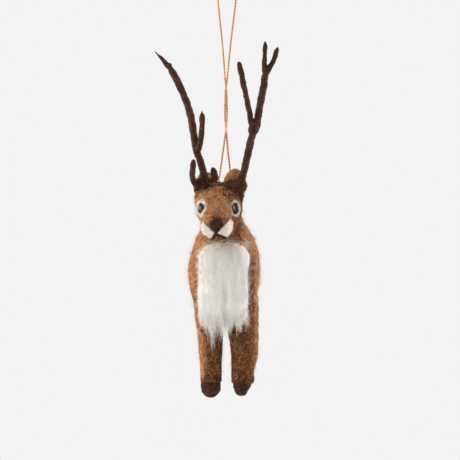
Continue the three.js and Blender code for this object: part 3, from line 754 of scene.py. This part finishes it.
HOOVES = [leg.replace("leg", "hoof") for leg in LEGS]
hooves = [
    felt_piece(node, dark_wool, "dark_wool", swell=0.1, voxel=0.4, rounds=12, dents=0.3)
    for node in HOOVES
]
for hoof, name in zip(hooves, HOOVES):
    low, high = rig.box(name)
    middle = (low + high) / 2

    def rounded(spot, normal, low=low, middle=middle):
        """Pulls the rim of a sole in, so that the hoof is round below."""
        foot = 1 - min(1, (spot.z - low.z) / (4 * MM))
        return Vector((middle.x - spot.x, middle.y - spot.y, 0)) * 0.28 * foot * foot

    press(hoof, rounded)


def narrowed(spot, normal):
    """Presses the front left hoof in from both sides, more at its sole on the outer side."""
    inner = 0.8 * ease(spot.x, 7 * MM, 4 * MM)
    outer = (0.1 + 1.5 * ease(height_of(spot), 7, 2)) * ease(spot.x, 10 * MM, 14 * MM)
    return Vector((inner - outer, 0, 0)) * MM


press(hooves[HOOVES.index("front_left_hoof")], narrowed)
print("hooves:", len(hooves))

# %% [markdown]
# The nose is round above and fuller on the left, and the left cheek is the flatter one.

# %% Nose, mouth and cheeks
nose = felt_piece("nose", dark_wool, "dark_wool", swell=0.2, voxel=0.25, rounds=6, dents=0.2)
nose_low, nose_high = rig.box("nose")


def rounded_nose(spot, normal):
    """Rounds the top of the nose and widens its left half."""
    middle = (nose_low.x + nose_high.x) / 2
    top = ease(spot.z, nose_high.z - 3.2 * MM, nose_high.z)
    wide = ease(spot.x, middle, nose_high.x) * ease(spot.z, nose_low.z + 2 * MM, nose_low.z + 5 * MM)
    return Vector((0.45 * top * (middle + 0.3 * MM - spot.x) + 0.7 * MM * wide, 0, 0))


press(nose, rounded_nose)
mouth = felt_piece("mouth_line", dark_wool, "dark_wool", swell=0.45, voxel=0.2, rounds=3, dents=0.1)
cheeks = [
    felt_piece(node, face_wool, "white_wool", swell=0.35, voxel=0.25, rounds=9, dents=0.15)
    for node in ("left_cheek", "right_cheek")
]


def flatter_cheek(spot, normal):
    """Presses the outer side of the left cheek in, less at its top."""
    top = ease(height_of(spot), 83.5, 86.5)
    return Vector((-1.2 * (1 - 0.9 * top) * ease(spot.x, 3.5 * MM, 7.5 * MM), 0, 0)) * MM


press(cheeks[0], flatter_cheek)
print("faces of the cheeks:", [len(cheek.data.polygons) for cheek in cheeks])

# %% [markdown]
# ## Eyes
# The eyes are black glass beads, polished, with a faint brown cloud in the glass.

# %% Black glass
polished = {"IOR": 1.5, "Specular IOR Level": 0.25, "Roughness": 0.1}
black_glass, tree, shader = new_material("black_glass", polished)
speck = noise_node(tree, 1.2, detail=2)
cloud = ramp_node(tree, speck.outputs["Fac"], "#0b0706", "#1d1411")
tree.links.new(cloud.outputs["Color"], shader.inputs["Base Color"])
print("glass:", black_glass.name)

# %% [markdown]
# A thin oval of greyish white wool wraps round each eye. It is made from the skin under it: the faces of
# the body inside the oval are copied, given a thickness and felted. A bead is pressed into each oval. Its
# solid is coarse, so it is smoothed, and it is set forward so that it shows clear of the fibres.

# %% Eye patches and beads
EYES = {"right": (2.5, 4.5, 0.1, 0.82, 1.05), "left": (2.3, 4.3, 0.5, 0.95, 1.15)}


def oval(centre, half_width, half_height):
    """A test that a point is in the oval round an eye, which wraps round the head."""
    out = math.copysign(1, centre.x)

    def inside(spot):
        gap = (spot - centre) / MM
        wide = gap.dot(across) * out
        deep = math.sqrt(max(0, gap.xy.length_squared - wide * wide))
        if wide < 0 and deep > 6:
            return False
        share = wide / half_width if wide < 0 else math.hypot(wide, 0.5 * deep) / (1.9 * half_width)
        return share ** 2 + ((gap.z + 0.3) / half_height) ** 2 < 1

    return inside


def eye_patch(side, inside):
    """A felted patch, made from the skin of the body that is inside an oval."""
    patch = add_object(side + "_eye_patch_felt", body_wool.data.copy())
    with opened(patch.data) as bm:
        outer = [face for face in bm.faces if not inside(face.calc_center_median())]
        bmesh.ops.delete(bm, geom=outer, context="FACES")
        bmesh.ops.solidify(bm, geom=bm.faces, thickness=0.9 * MM)
    press(patch, lambda spot, normal: normal * 0.15 * MM)
    felt_up(patch, voxel=0.25 * MM, rounds=6)
    dress(patch, eye_wool, "figure", "white_wool", [side + "_eye_patch"])
    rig.padded(patch, fill=1)
    return patch


def eye_bead(side, middle, place, width, height):
    """A polished bead, moved from the middle of its solid to its place and leaning a little."""
    bead = wool_copy(side + "_eye_bead_glass", [side + "_eye_bead"], swell=0.3 * MM)
    lean = Matrix.Rotation(math.radians(-15), 4, "X")
    stretch = Matrix.Diagonal((width, 1, height, 1))
    bead.data.transform(Matrix.Translation(place) @ lean @ stretch @ Matrix.Translation(-middle))
    polish = bead.modifiers.new("polish", "SUBSURF")
    polish.levels = 2
    polish.render_levels = 2
    bead.data.shade_smooth()
    dress(bead, black_glass, "figure", "black_glass", [side + "_eye_bead"])
    lit_by_catch_light.objects.link(bead)


eye_patches = []
in_patch = {}
for side, (half_width, half_height, shift, bead_width, bead_height) in EYES.items():
    low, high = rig.box(side + "_eye_bead")
    middle = (low + high) / 2
    centre = middle + across * shift * MM
    forward = Vector((math.copysign(0.1, middle.x), -1.8, -0.45)) * MM
    in_patch[side] = oval(centre, half_width, half_height)
    eye_patches.append(eye_patch(side, in_patch[side]))
    eye_bead(side, middle, centre + forward, bead_width, bead_height)
print("eye patch faces:", [len(patch.data.polygons) for patch in eye_patches])

# %% [markdown]
# ## Antlers
# Wire is bent to shape and wool is wound round it, thin at the tips and thick where two wires join. The
# solids of one antler are melted into one skin, as the body is. Four tines end in a point, where the wool
# was rolled between the fingers, and the right beam stops blunt beside its tip.

# %% Antlers
behaviour = frame["record"]["behaviour"]
ROOTS = {j["child"]: Vector(j["pos_m"]) for j in behaviour["joints"] if "antler" in j["child"]}
POINTED = {"right_tip": 9, "right_middle_tine": 4, "left_fork_inner": 4, "left_fork_outer": 4}
BLUNT_END = (above_soles((-26.8, -12.3, 163.5)), 1.2)


def add_lumps(piece, lumps):
    """Adds balls of wool to a piece, each a place and a radius in millimetres."""
    with opened(piece.data) as bm:
        for place, radius in lumps:
            lump = bmesh.ops.create_icosphere(bm, subdivisions=2, radius=radius * MM)
            bmesh.ops.translate(bm, verts=lump["verts"], vec=place)


def pointed(node, length):
    """A rule that narrows a length of a tine towards its tip."""
    spots = [vertex.co for vertex in frame["nodes"][node].data.vertices]
    tip = max(spots, key=lambda spot: spot.z)
    before = [spot for spot in spots if (length - 2) * MM < (spot - tip).length < length * MM]
    base = sum(before, Vector()) / len(before)
    axis = (tip - base).normalized()

    def rule(spot, normal):
        along = (spot - base).dot(axis)
        side = spot - base - axis * along
        near = ease((spot - tip).length, (length + 0.5) * MM, (length - 0.5) * MM)
        return -0.65 * near * ease(along, 0, (tip - base).length) * side

    return rule


antlers = {}
for body in ROOTS:
    nodes = behaviour["bodies"][body]
    wound = wool_copy(body + "_wool", nodes, swell=0.05 * MM)
    if body == "right_antler":
        add_lumps(wound, [BLUNT_END])
    felt_up(wound, voxel=0.3 * MM, rounds=3)
    for node in nodes:
        if node in POINTED:
            press(wound, pointed(node, POINTED[node]))
    dent(wound, height=0.3, size=(2.5, 2.5, 2.5), seed=5)
    dent(wound, height=0.14, size=(4, 4, 1), seed=6)
    dress(wound, dark_wool, body, "dark_wool", nodes)
    antlers[body] = wound
TINES = {"right_brow_tine": 0.2, "right_back_tine": 0.4}
tines = [
    felt_piece(node, dark_wool, "dark_wool", swell, voxel=0.3, rounds=3, dents=0.25)
    for node, swell in TINES.items()
]
print("antler faces:", [len(antler.data.polygons) for antler in antlers.values()])

# %% [markdown]
# The root of each antler is a lump of dark wool that is stabbed to the wire and to the head, so it
# stretches when the wire bends: a blend lets its foot stay with the head while its top follows the antler.
# It is made of balls on the way up the wire and on the crown, melted together.

# %% Antler roots
WIRE_LUMPS = [(-2.6, 3.1), (-1, 2.5), (0.8, 2)]
CROWN_LUMPS = {
    "left_antler": [
        (-0.6, 104.2, 1.3), (1.4, 103.8, 2), (4, 102.8, 2.8),
        (7.2, 100.8, 3.1), (8, 98.9, 2.3), (8.3, 97.2, 1.5),
    ],
    "right_antler": [(-12.4, 102.4, 1.9), (-11.2, 101.4, 2.3), (-8.6, 101.8, 2.6), (-6, 103, 1.8)],
}
BLENDS = {}
burrs = {}
for body, root in ROOTS.items():
    node = body + "_burr"
    burr = wool_copy(node + "_felt", [node], swell=0.1 * MM)
    lean = Vector((math.copysign(0.2, root.x), 0.05, 1)).normalized()
    balls = [(root + lean * rise * MM, radius) for rise, radius in WIRE_LUMPS]
    balls += [(above_soles((x, root.y / MM, z)), radius) for x, z, radius in CROWN_LUMPS[body]]
    add_lumps(burr, balls)
    felt_up(burr, voxel=0.45 * MM, rounds=5)

    def below_ear(spot, normal, root=root):
        """Presses the inner top of a root down, so that the ear behind it shows."""
        inner = ease((root.x - spot.x) * math.copysign(1, root.x), 0.5 * MM, 3 * MM)
        return Vector((0, 0, -2 * MM)) * inner * ease(height_of(spot), 104, 107)

    press(burr, below_ear)
    dent(burr, height=0.9, size=(3, 3, 3), seed=7)
    burr.data.materials.append(dark_wool)
    BLENDS[body] = (root - Vector((0, 0, 3)) * MM, root + Vector((0, 0, 5)) * MM)
    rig.blend(burr, "figure", body, *BLENDS[body])
    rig.slot(burr, "dark_wool")
    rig.replaces(burr, node)
    burrs[body] = burr
print("burr faces:", [len(b.data.polygons) for b in burrs.values()])

# %% [markdown]
# ## The combed chest
# The ruff was combed straight and only lightly stabbed down, so it is softer than the body. Its base is
# the solid, remeshed, with shallow grooves between the locks and a valley down the middle. It is spread at
# the throat, and drawn up at its lower end, where fibres make its outline.

# %% Ruff base
ruff = wool_copy("chest_ruff_wool", ["chest_ruff"], swell=-0.4 * MM)
felt_up(ruff, voxel=0.6 * MM, rounds=14)
dent(ruff, height=0.22, size=(2.6, 6, 24), seed=3)
ruff_low, ruff_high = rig.box("chest_ruff")
RUFF_MIDDLE = (ruff_low.x + ruff_high.x) / 2
RUFF_HALF = (ruff_high.x - ruff_low.x) / 2 - 1 * MM
FRINGE = 17 * MM
VALLEY = 2.2 * MM


def drawn_in(spot, normal):
    """Spreads the ruff below the neck, lifts its foot, and presses valley and sides in."""
    low = max(0, 1 - (spot.z - ruff_low.z) / FRINGE) ** 2
    height = height_of(spot)
    valley = ease(abs(spot.x - VALLEY), 3 * MM, 0) * ease(height, 66, 50) * ease(normal.y, 0, -0.5)
    across_chest = (spot.x - RUFF_MIDDLE) / MM
    top = ease(height, 60, 71)
    left = ease(across_chest, 2, 10) * (0.2 + 1.8 * top)
    right = ease(across_chest, -2, -10) * 1.2 * top
    sideways = left - right - 0.05 * across_chest
    sides = 1.5 * ease(abs(across_chest), 7, 12.5)
    return Vector((sideways, 3.6 * low + 1.1 * valley + sides, 7.5 * low)) * MM


press(ruff, drawn_in)
dress(ruff, white_wool, "figure", "white_wool", ["chest_ruff"])
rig.padded(ruff, fill=0.7)
print("ruff faces:", len(ruff.data.polygons))

# %% [markdown]
# ## Fibres
# What makes felt look like felt is its fibres: most lie flat and curl, some stand off and catch the light.
# Each fibre here creeps over the surface it grows from: it takes a step, is pulled back to the skin, turns
# a little and steps again, and rises towards its tip. All the fibres of a piece are swept at once as thin
# three-sided tubes. They stand for small bundles, 0.1 to 0.4 mm thick, as real ones would not show.

# %% Fibre lines
ROOT_DEPTH = 0.06
section_curve = bpy.data.curves.new("fibre_section", "CURVE")
section_line = section_curve.splines.new("POLY")
section_line.points.add(2)
section_line.use_cyclic_u = True
for i, point in enumerate(section_line.points):
    angle = i * 2 * math.pi / 3
    point.co = (math.cos(angle), math.sin(angle), 0, 1)
fibre_section = add_object("fibre_section", section_curve)


def skin_of(*pieces):
    """The surfaces of pieces together, as something to measure distances to."""
    spots = []
    faces = []
    for piece in pieces:
        first = len(spots)
        spots.extend(v.co for v in piece.data.vertices)
        faces.extend([first + i for i in p.vertices] for p in piece.data.polygons)
    return BVHTree.FromPolygons(spots, faces)


def scatter(piece, count, rng):
    """Points spread evenly over a piece, with the normals there."""
    mesh = piece.data
    mesh.calc_loop_triangles()
    shares = list(itertools.accumulate(t.area for t in mesh.loop_triangles))
    for triangle in rng.choices(mesh.loop_triangles, cum_weights=shares, k=count):
        a, b, c = (mesh.vertices[i].co for i in triangle.vertices)
        u = math.sqrt(rng.random())
        v = rng.random()
        yield a * (1 - u) + b * (u * (1 - v)) + c * (u * v), triangle.normal.copy()


def creep(skin, spot, normal, heading, length, lift, curl, steps, leave, rng):
    """The points of a fibre that creeps over a skin, rises from it, and leaves it at a sharp edge."""
    points = [spot - normal * ROOT_DEPTH * MM]
    bend = rng.gauss(0, curl)
    for i in range(1, steps + 1):
        heading = (heading - normal * heading.dot(normal)).normalized()
        turn = bend + rng.gauss(0, curl / 2)
        heading = heading * math.cos(turn) + normal.cross(heading) * math.sin(turn)
        spot = spot + heading * (length / steps)
        near, near_normal, _, gap = skin.find_nearest(spot)
        if gap < leave * MM:
            spot = near
            normal = near_normal
        points.append(spot + normal * lift * (i / steps) ** 1.4)
    return points


def fibre_piece(name, lines, width, tones, rng):
    """A piece of fibres, each a line and the number of its tone, that taper to their tips."""
    swept = []
    for points, tone in lines:
        last = len(points) - 1
        thick = width / 2 * MM * rng.uniform(0.6, 1.2)
        taper = [thick * (1 - 0.8 * (i / last) ** 2) for i in range(last + 1)]
        swept.append((points, taper, tone))
    piece = curve_piece(name, swept, tones, section=fibre_section)
    print(name, "fibres:", len(lines), "triangles:", sum(len(p.vertices) - 2 for p in piece.data.polygons))
    return piece


print("corners of a fibre's section:", len(section_line.points))

# %% [markdown]
# A coat is grown from points spread over a piece. Rules say where fibres start, which way they are combed
# and which tone they take. Felt is mottled in clumps, so most tones follow a fine noise.

# %% Coats
CLUMP_SIZE = 0.6 * MM
CLUMP_CONTRAST = 1.45
CLUMP_SPREAD = 0.14


def any_way(spot, normal, rng):
    """A heading in any direction."""
    return Vector((rng.gauss(0, 1), rng.gauss(0, 1), rng.gauss(0, 1)))


def everywhere(spot, normal, rng):
    """Grows fibres all over."""
    return True


def fuzz(
    name, ground, tones, seed, count, length, lift, width, curl=0.5, steps=3, leave=9,
    where=everywhere, comb=any_way, pick=None,
):
    """Fibres that grow on the first piece and creep over all: sizes in millimetres."""
    rng = random.Random(seed)
    skin = skin_of(*ground)
    lines = []
    for spot, normal in scatter(ground[0], count, rng):
        if where(spot, normal, rng):
            reach = length * MM * rng.uniform(0.6, 1.4)
            height = lift * MM * rng.random() ** 1.5
            heading = comb(spot, normal, rng)
            line = creep(skin, spot, normal, heading, reach, height, curl, steps, leave, rng)
            lines.append((line, pick(spot, rng) if pick else rng.randrange(len(tones))))
    return fibre_piece(name, lines, width, tones, rng)


def with_figure(piece, slot):
    """The piece moves with the figure and takes its finish from a slot."""
    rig.ride(piece, "figure")
    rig.slot(piece, slot)


def coat(name, slot, ground, **growth):
    """Fibres that move with the figure."""
    with_figure(fuzz(name, ground, **growth), slot)


def clumped(spot, rng, tones):
    """A tone from a list that runs from dark to light, alike in clumps of about a millimetre."""
    share = 0.5 + CLUMP_CONTRAST * noise.noise(spot / CLUMP_SIZE) + rng.gauss(0, CLUMP_SPREAD)
    return tones[min(len(tones) - 1, max(0, int(share * len(tones))))]


print("contrast of the clumps:", CLUMP_CONTRAST)

# %% [markdown]
# The body has two coats. Thick strands lie flat and loop over each other, which gives the mottled surface.
# Thin light fibres rise from them, and make the soft edge: they are light partly as painted light, for the
# glow that loose fibres catch along an edge. Both start clear of the other wools, but they may creep onto
# them, which softens every edge.

# %% Body coat
HEAD_LINE = above_soles((0, 0, 78)).z
pads = [nose, mouth, *cheeks, *eye_patches, *hooves]
BARE_GAP = 0.3 * MM
other_skin = skin_of(ruff, *pads, *burrs.values())


def bare(spot):
    """Whether a point is not on or beside the other wools."""
    return other_skin.find_nearest(spot, BARE_GAP)[0] is None


def on_head(spot):
    """Whether a point is on the head."""
    return spot.z > HEAD_LINE and spot.y < -6 * MM


ear_boxes = [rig.box("left_ear"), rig.box("right_ear")]


def on_ear(spot):
    """Whether a point is in the box of an ear."""
    return any(all(a < c < b for a, c, b in zip(low, spot, high)) for low, high in ear_boxes)


def body_tone(spot, rng):
    """Caramel shades, lighter on the ears as painted light, or brown ones where the share of brown wool and painted
    shade is high.
    """
    # Painted light: lighter shades on the ears.
    if on_ear(spot):
        return clumped(spot, rng, (3, 3, 4, 4))
    brown = rng.random() < brown_wool_and_shade(spot)
    return clumped(spot, rng, (0, 1, 1, 1, 2, 2, 3) if brown else (1, 2, 3, 3, 3, 4, 4))


def on_torso(spot):
    """Whether a point is above the legs and not on the head."""
    return spot.z > LEG_LINE and not on_head(spot)


COATS = {
    "head": (64000, 1.4, on_head),
    "torso_left": (52000, 1.8, lambda spot: on_torso(spot) and spot.x > 0),
    "torso_right": (52000, 1.8, lambda spot: on_torso(spot) and spot.x <= 0),
    "front_legs": (56000, 1.8, lambda spot: spot.z <= LEG_LINE and spot.y < 0),
    "hind_legs": (56000, 1.8, lambda spot: spot.z <= LEG_LINE and spot.y >= 0),
}
for region, (count, length, inside) in COATS.items():
    coat(
        region + "_strands", "caramel_wool", ground=[body_wool, ruff, *pads], tones=caramel_fibres,
        seed=len(region), count=count, length=length, lift=0.2, width=0.26, curl=0.4, steps=2,
        where=lambda spot, normal, rng: inside(spot) and bare(spot),
        pick=body_tone,
    )
# Partly painted light: the down takes the lighter shades, for the glow of loose fibres along an edge.
coat(
    "caramel_down", "caramel_wool", ground=[body_wool], tones=[*caramel_fibres, face_fibres[0]],
    seed=31, count=8000, length=3.4, lift=2.4, width=0.1, curl=0.4,
    where=lambda spot, normal, rng: bare(spot),
    pick=lambda spot, rng: rng.choice((2, 3, 4) if rng.random() < brown_wool_and_shade(spot) else (3, 4, 4, 5)),
)

# %% [markdown]
# The brown wool of the legs is crossed by single light fibres, where some caramel wool was mixed in.

# %% Light fibres on the legs
coat(
    "leg_strokes", "caramel_wool", ground=[body_wool], tones=caramel_fibres[3:], seed=33,
    count=6500, length=3.2, lift=0.3, width=0.17, curl=0.35, steps=4,
    where=lambda spot, normal, rng: spot.z < LEG_LINE and bare(spot),
)

# %% [markdown]
# The ruff's fibres are long and combed down. Flat locks cover its base, and finer fibres lie over them.

# %% Combed chest
def combed_down(spot, normal, rng):
    """Downwards, with a little spread."""
    return Vector((rng.gauss(0, 0.16), 0, -1))


COMBED = {"ruff_locks": (4200, 0.1, 0.22), "ruff_fibres": (3600, 0.4, 0.12)}
COMBED_LENGTH = 7
for name, (count, lift, width) in COMBED.items():
    coat(
        name, "white_wool", ground=[ruff, body_wool], tones=white_fibres,
        seed=COMBED_LENGTH + count,
        count=count, length=COMBED_LENGTH, lift=lift, width=width, curl=0.16, steps=5, leave=1.2,
        where=lambda spot, normal, rng: normal.y < 0.2,
        comb=combed_down,
    )

# %% [markdown]
# Around the rim short white fibres curl over the brown, and one wisp of them strays up the left shoulder.
# Brown fibres reach over the edge of the ruff in return, and on its left side they are painted shade over
# the white. A halo of loose white ones stands off its sides and its top.

# %% Rim of the ruff
ruff_skin = skin_of(ruff)


def round_ruff(spot, normal, rng):
    """Keeps points on the body beside the ruff, fewer further away."""
    height = height_of(spot)
    if normal.y > 0.3 or spot.y > -9 * MM or not 37 < height < 79:
        return False
    gap = ruff_skin.find_nearest(spot)[3]
    share = 0.4
    if height > 70:
        share = 1
    elif spot.x > RUFF_MIDDLE:
        share = 0.13
        gap = min(gap, max(0, spot.x - RUFF_MIDDLE - RUFF_HALF))
    return rng.random() < share * max(0, 1 - gap / (4.4 * MM)) ** 2


coat(
    "ruff_rim", "white_wool", ground=[body_wool, ruff], tones=white_fibres, seed=43,
    count=90000, length=3, lift=1, width=0.1, curl=0.6, steps=4, where=round_ruff,
)
body_skin = skin_of(body_wool)


def at_edge(spot, normal, rng):
    """Keeps points of the ruff that are close to the body, or on its left side for painted shade."""
    # Painted shade: caramel fibres darken the left side of the ruff.
    if normal.x > 0.85 and normal.y < 0.3:
        return rng.random() < 0.6
    return rng.random() ** 0.5 > body_skin.find_nearest(spot)[3] / (2 * MM)


coat(
    "ruff_wisp", "white_wool", ground=[body_wool, ruff], tones=white_fibres, seed=47,
    count=40000, length=5, lift=0.8, width=0.12, curl=0.2, steps=5,
    where=lambda spot, normal, rng: 9.5 < spot.x / MM < 12 and 72 < height_of(spot) < 76 and normal.y < 0,
    comb=lambda spot, normal, rng: Vector((0.8 + rng.gauss(0, 0.2), 0, 0.7 + rng.gauss(0, 0.2))),
)
coat(
    "ruff_edge_strands", "caramel_wool", ground=[ruff, body_wool], tones=caramel_fibres, seed=46,
    count=7000, length=1.8, lift=0.5, width=0.13, where=at_edge,
    pick=lambda spot, rng: rng.choice((1, 1, 2, 2, 3)),
)


def round_edge(spot, normal, rng):
    """Keeps points on the sides and the top of the ruff, fewer on its left side."""
    side = abs(normal.x) > 0.4 or normal.z > 0.5
    return side and normal.y < 0.5 and rng.random() < (0.5 if normal.x > 0.4 else 1)


coat(
    "ruff_halo", "white_wool", ground=[ruff, body_wool], tones=[*face_fibres[:2], *white_fibres],
    seed=45, count=9000, length=2.6, lift=2.4, width=0.11, steps=4, leave=0.5, where=round_edge,
    comb=lambda spot, normal, rng: Vector((normal.x + rng.gauss(0, 0.3), -0.2, normal.z - rng.random())),
)

# %% [markdown]
# The lower edge is a fringe: fibres from the foot of the ruff run together into thin wisps in front of the
# legs. One lock hangs lower, in front of the figure's right leg, and thin hairs fill the valley.

# %% Fringe
FRINGE_TIPS = 34
FRINGE_ROOTS = 7000
FRINGE_STEPS = 6
LOCK_HAIRS = 16
VALLEY_HAIRS = 60
HAIR_STEPS = 3


def wisp_height(x):
    """How far down the fringe hangs across the chest, in millimetres above the soles."""
    valley = 1.5 * ease(abs(x - 1.8), 2.5, 0)
    return 31 + 6 * ease(x, -5, -12) + valley + 2.5 * ease(x, 2, 5) + 2.5 * ease(x, 8, 13)


rng = random.Random(44)
tips = []
for _ in range(FRINGE_TIPS):
    x = rng.uniform(-12, 13)
    tips.append(above_soles((x, -24.5 - rng.random(), wisp_height(x) + rng.gauss(0, 1))))
fringe_lines = []
for spot, normal in scatter(ruff, FRINGE_ROOTS, rng):
    if normal.y > 0.3 or rng.random() > ease(spot.z, ruff_low.z + FRINGE, ruff_low.z + 0.4 * FRINGE):
        continue
    tip = min(tips, key=lambda t: abs(t.x - spot.x + rng.gauss(0, 0.7 * MM)))
    tip = tip + Vector((rng.gauss(0, 0.5), rng.gauss(0, 0.4), rng.gauss(0, 0.8))) * MM
    reach = 1.1 * rng.random() ** 0.8 + (0.4 if rng.random() < 0.08 else 0)
    wave = Vector((rng.gauss(0, 0.5), rng.gauss(0, 0.4), 0)) * MM
    line = [spot]
    for i in range(1, FRINGE_STEPS + 1):
        share = i / FRINGE_STEPS
        bow = normal * math.sin(share * math.pi) * 0.5 * MM
        sway = wave * math.sin(share * 5)
        line.append(spot.lerp(tip, share * reach) + bow + sway)
    fringe_lines.append((line, rng.randrange(len(white_fibres))))


def add_hair(*spots):
    """Adds a smooth hair to the fringe, through points in millimetres above the soles."""
    line = smooth_line([above_soles(spot) for spot in spots], HAIR_STEPS)
    fringe_lines.append((line, rng.randrange(len(white_fibres))))


for _ in range(LOCK_HAIRS):
    start = Vector((rng.uniform(-10, -3), -24.5, rng.uniform(36, 41)))
    neck = Vector((-4.6 + rng.gauss(0, 0.7), -25.6, 31 + rng.gauss(0, 1)))
    tip = Vector((-3.9 + rng.gauss(0, 1), -25.2, rng.uniform(21, 30)))
    add_hair(start, neck, (neck + tip) / 2 + Vector((rng.gauss(0, 1), -0.3, 0)), tip)
for _ in range(VALLEY_HAIRS):
    start = Vector((rng.uniform(-1, 4.5), -24, rng.uniform(38, 42)))
    tip = Vector((1.8 + rng.gauss(0, 1.2), -23.5, rng.uniform(28, 35)))
    add_hair(start, (start + tip) / 2 + Vector((rng.gauss(0, 0.7), -0.4, 0)), tip)
fringe = fibre_piece("ruff_fringe", fringe_lines, 0.1, white_fibres, rng)
with_figure(fringe, "white_wool")

# %% [markdown]
# Dark wool has a shorter coat. It runs from the antler roots, the nose and the hooves into the caramel
# around them, thinning out with distance.

# %% Dark coat
root_skin = skin_of(*burrs.values())
hoof_skin = skin_of(*hooves)
nose_skin = skin_of(nose)


def near_dark(spot, normal, rng):
    """Keeps points near dark wool, fewer further away, and none on the eyes and ears."""
    if on_ear(spot) or any(inside(spot) for inside in in_patch.values()):
        return False
    root_gap = root_skin.find_nearest(spot)[3] / (5 * MM)
    hoof_gap = hoof_skin.find_nearest(spot)[3] / (3.2 * MM)
    nose_gap = nose_skin.find_nearest(spot)[3] / (1.1 * MM)
    return rng.random() < 1 - min(root_gap, hoof_gap, nose_gap)


coat(
    "dark_edge_strands", "dark_wool", ground=[body_wool, *pads], tones=dark_fibres, seed=51,
    count=70000, length=2.2, lift=0.6, width=0.26, where=near_dark,
)
for pad in (nose, mouth, *hooves):
    coat(
        pad.name.replace("felt", "strands"), "dark_wool",
        ground=[pad, body_wool] if pad in hooves else [pad], tones=dark_fibres, seed=52,
        count=700 if pad in hooves else 450, length=1.8, lift=0.3, width=0.24,
        pick=lambda spot, rng: clumped(spot, rng, (0, 1, 1, 2) if pad is nose else (0, 0, 0, 0, 1, 2)),
    )

# %% [markdown]
# The white patches of the face have the same short coat in white, greyer round the eyes, with some tan and
# caramel fibres that were caught when the patch was stabbed on. The left cheek and the left eye patch take
# more tan and grey fibres as painted shade.

# %% White coat of the face
# Painted shade: darker shades on the left cheek and the left eye patch.
FACE_PICKS = {
    "left_cheek_felt": (0, 0, 1, 1, 2, 4),
    "right_cheek_felt": (0, 1, 2, 2, 3, 4),
    "left_eye_patch_felt": (0, 0, 1, 1, 2, 3),
    "right_eye_patch_felt": (0, 1, 1, 2, 2, 2),
}
for pad in (*cheeks, *eye_patches):
    coat(
        pad.name.replace("felt", "strands"), "white_wool", ground=[pad, body_wool],
        tones=[*(face_fibres if pad in cheeks else eye_fibres), caramel_fibres[3]], seed=55,
        count=500, length=1.8, lift=0.5, width=0.16,
        pick=lambda spot, rng: rng.choice(FACE_PICKS[pad.name]),
    )

# %% [markdown]
# The antlers and their roots get strands that run round the wire, as the wool was wound. Those on a
# root are blended between head and antler exactly as the root is.

# %% Wound coat
def wound_round(spot, normal, rng):
    """Round an upright wire, rising or falling a little."""
    return normal.cross(Vector((0, 0, 1))) + Vector((0, 0, rng.gauss(0.2, 0.3)))


WOUND = {"lift": 0.06, "width": 0.2, "curl": 0.15, "comb": wound_round}
for body, antler in antlers.items():
    wrap = fuzz(
        body + "_wrap", ground=[antler], tones=dark_fibres, seed=61, count=2100, length=3, **WOUND,
        pick=lambda spot, rng: clumped(spot, rng, (0, 0, 0, 1, 1, 2)),
    )
    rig.ride(wrap, body)
    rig.slot(wrap, "dark_wool")
    burr_coat = fuzz(
        body + "_burr_strands", ground=[burrs[body]], tones=[*dark_fibres, caramel_fibres[2]],
        seed=62, count=1400, length=3.2, lift=1, width=0.17, curl=0.8, steps=5,
        pick=lambda spot, rng: clumped(spot, rng, (1, 1, 2, 2, 3, 3) if spot.x > 0 else (0, 0, 1, 2)),
    )
    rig.blend(burr_coat, "figure", body, *BLENDS[body])
    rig.slot(burr_coat, "dark_wool")
for tine in tines:
    name = tine.name.replace("felt", "wrap")
    coat(name, "dark_wool", [tine], tones=dark_fibres, seed=63, count=320, length=2.6, **WOUND)

# %% [markdown]
# ## What stays hidden
# The stitch of thread and the ends of the wires are inside the wool. Their solids stay as they are and get
# the material of the real thing: tan cotton, and soft iron, grey with brown stains from annealing.

# %% Hidden solids
soft_iron, tree, shader = new_material("annealed_iron_wire", {"Metallic": 1})
stain = noise_node(tree, 3, detail=3)
metal = ramp_node(tree, stain.outputs["Fac"], "#4d4843", "#7a716a")
dull = {"To Min": 0.4, "To Max": 0.65}
polish = add_node(tree, "ShaderNodeMapRange", dull, {"Value": stain.outputs["Fac"]})
tree.links.new(metal.outputs["Color"], shader.inputs["Base Color"])
tree.links.new(polish.outputs["Result"], shader.inputs["Roughness"])
for node in FILLERS:
    slots = frame["nodes"][node].data.materials
    slots.clear()
    slots.append(tan_cotton if node == "thread_stitch" else soft_iron)
print("hidden solids:", FILLERS)

# %% [markdown]
# ## Sizes
# The sizes before and after are kept side by side.

# %% Sizes and finish
bpy.data.objects.remove(fibre_section)
dressed_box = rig.bounds()
sizes = {"cad": [list(c) for c in cad_box], "visual": [list(c) for c in dressed_box]}
with open("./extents.json", "w") as size_file:
    json.dump(sizes, size_file)
print("dressed size in millimetres:", [round(s / MM, 1) for s in dressed_box[1] - dressed_box[0]])
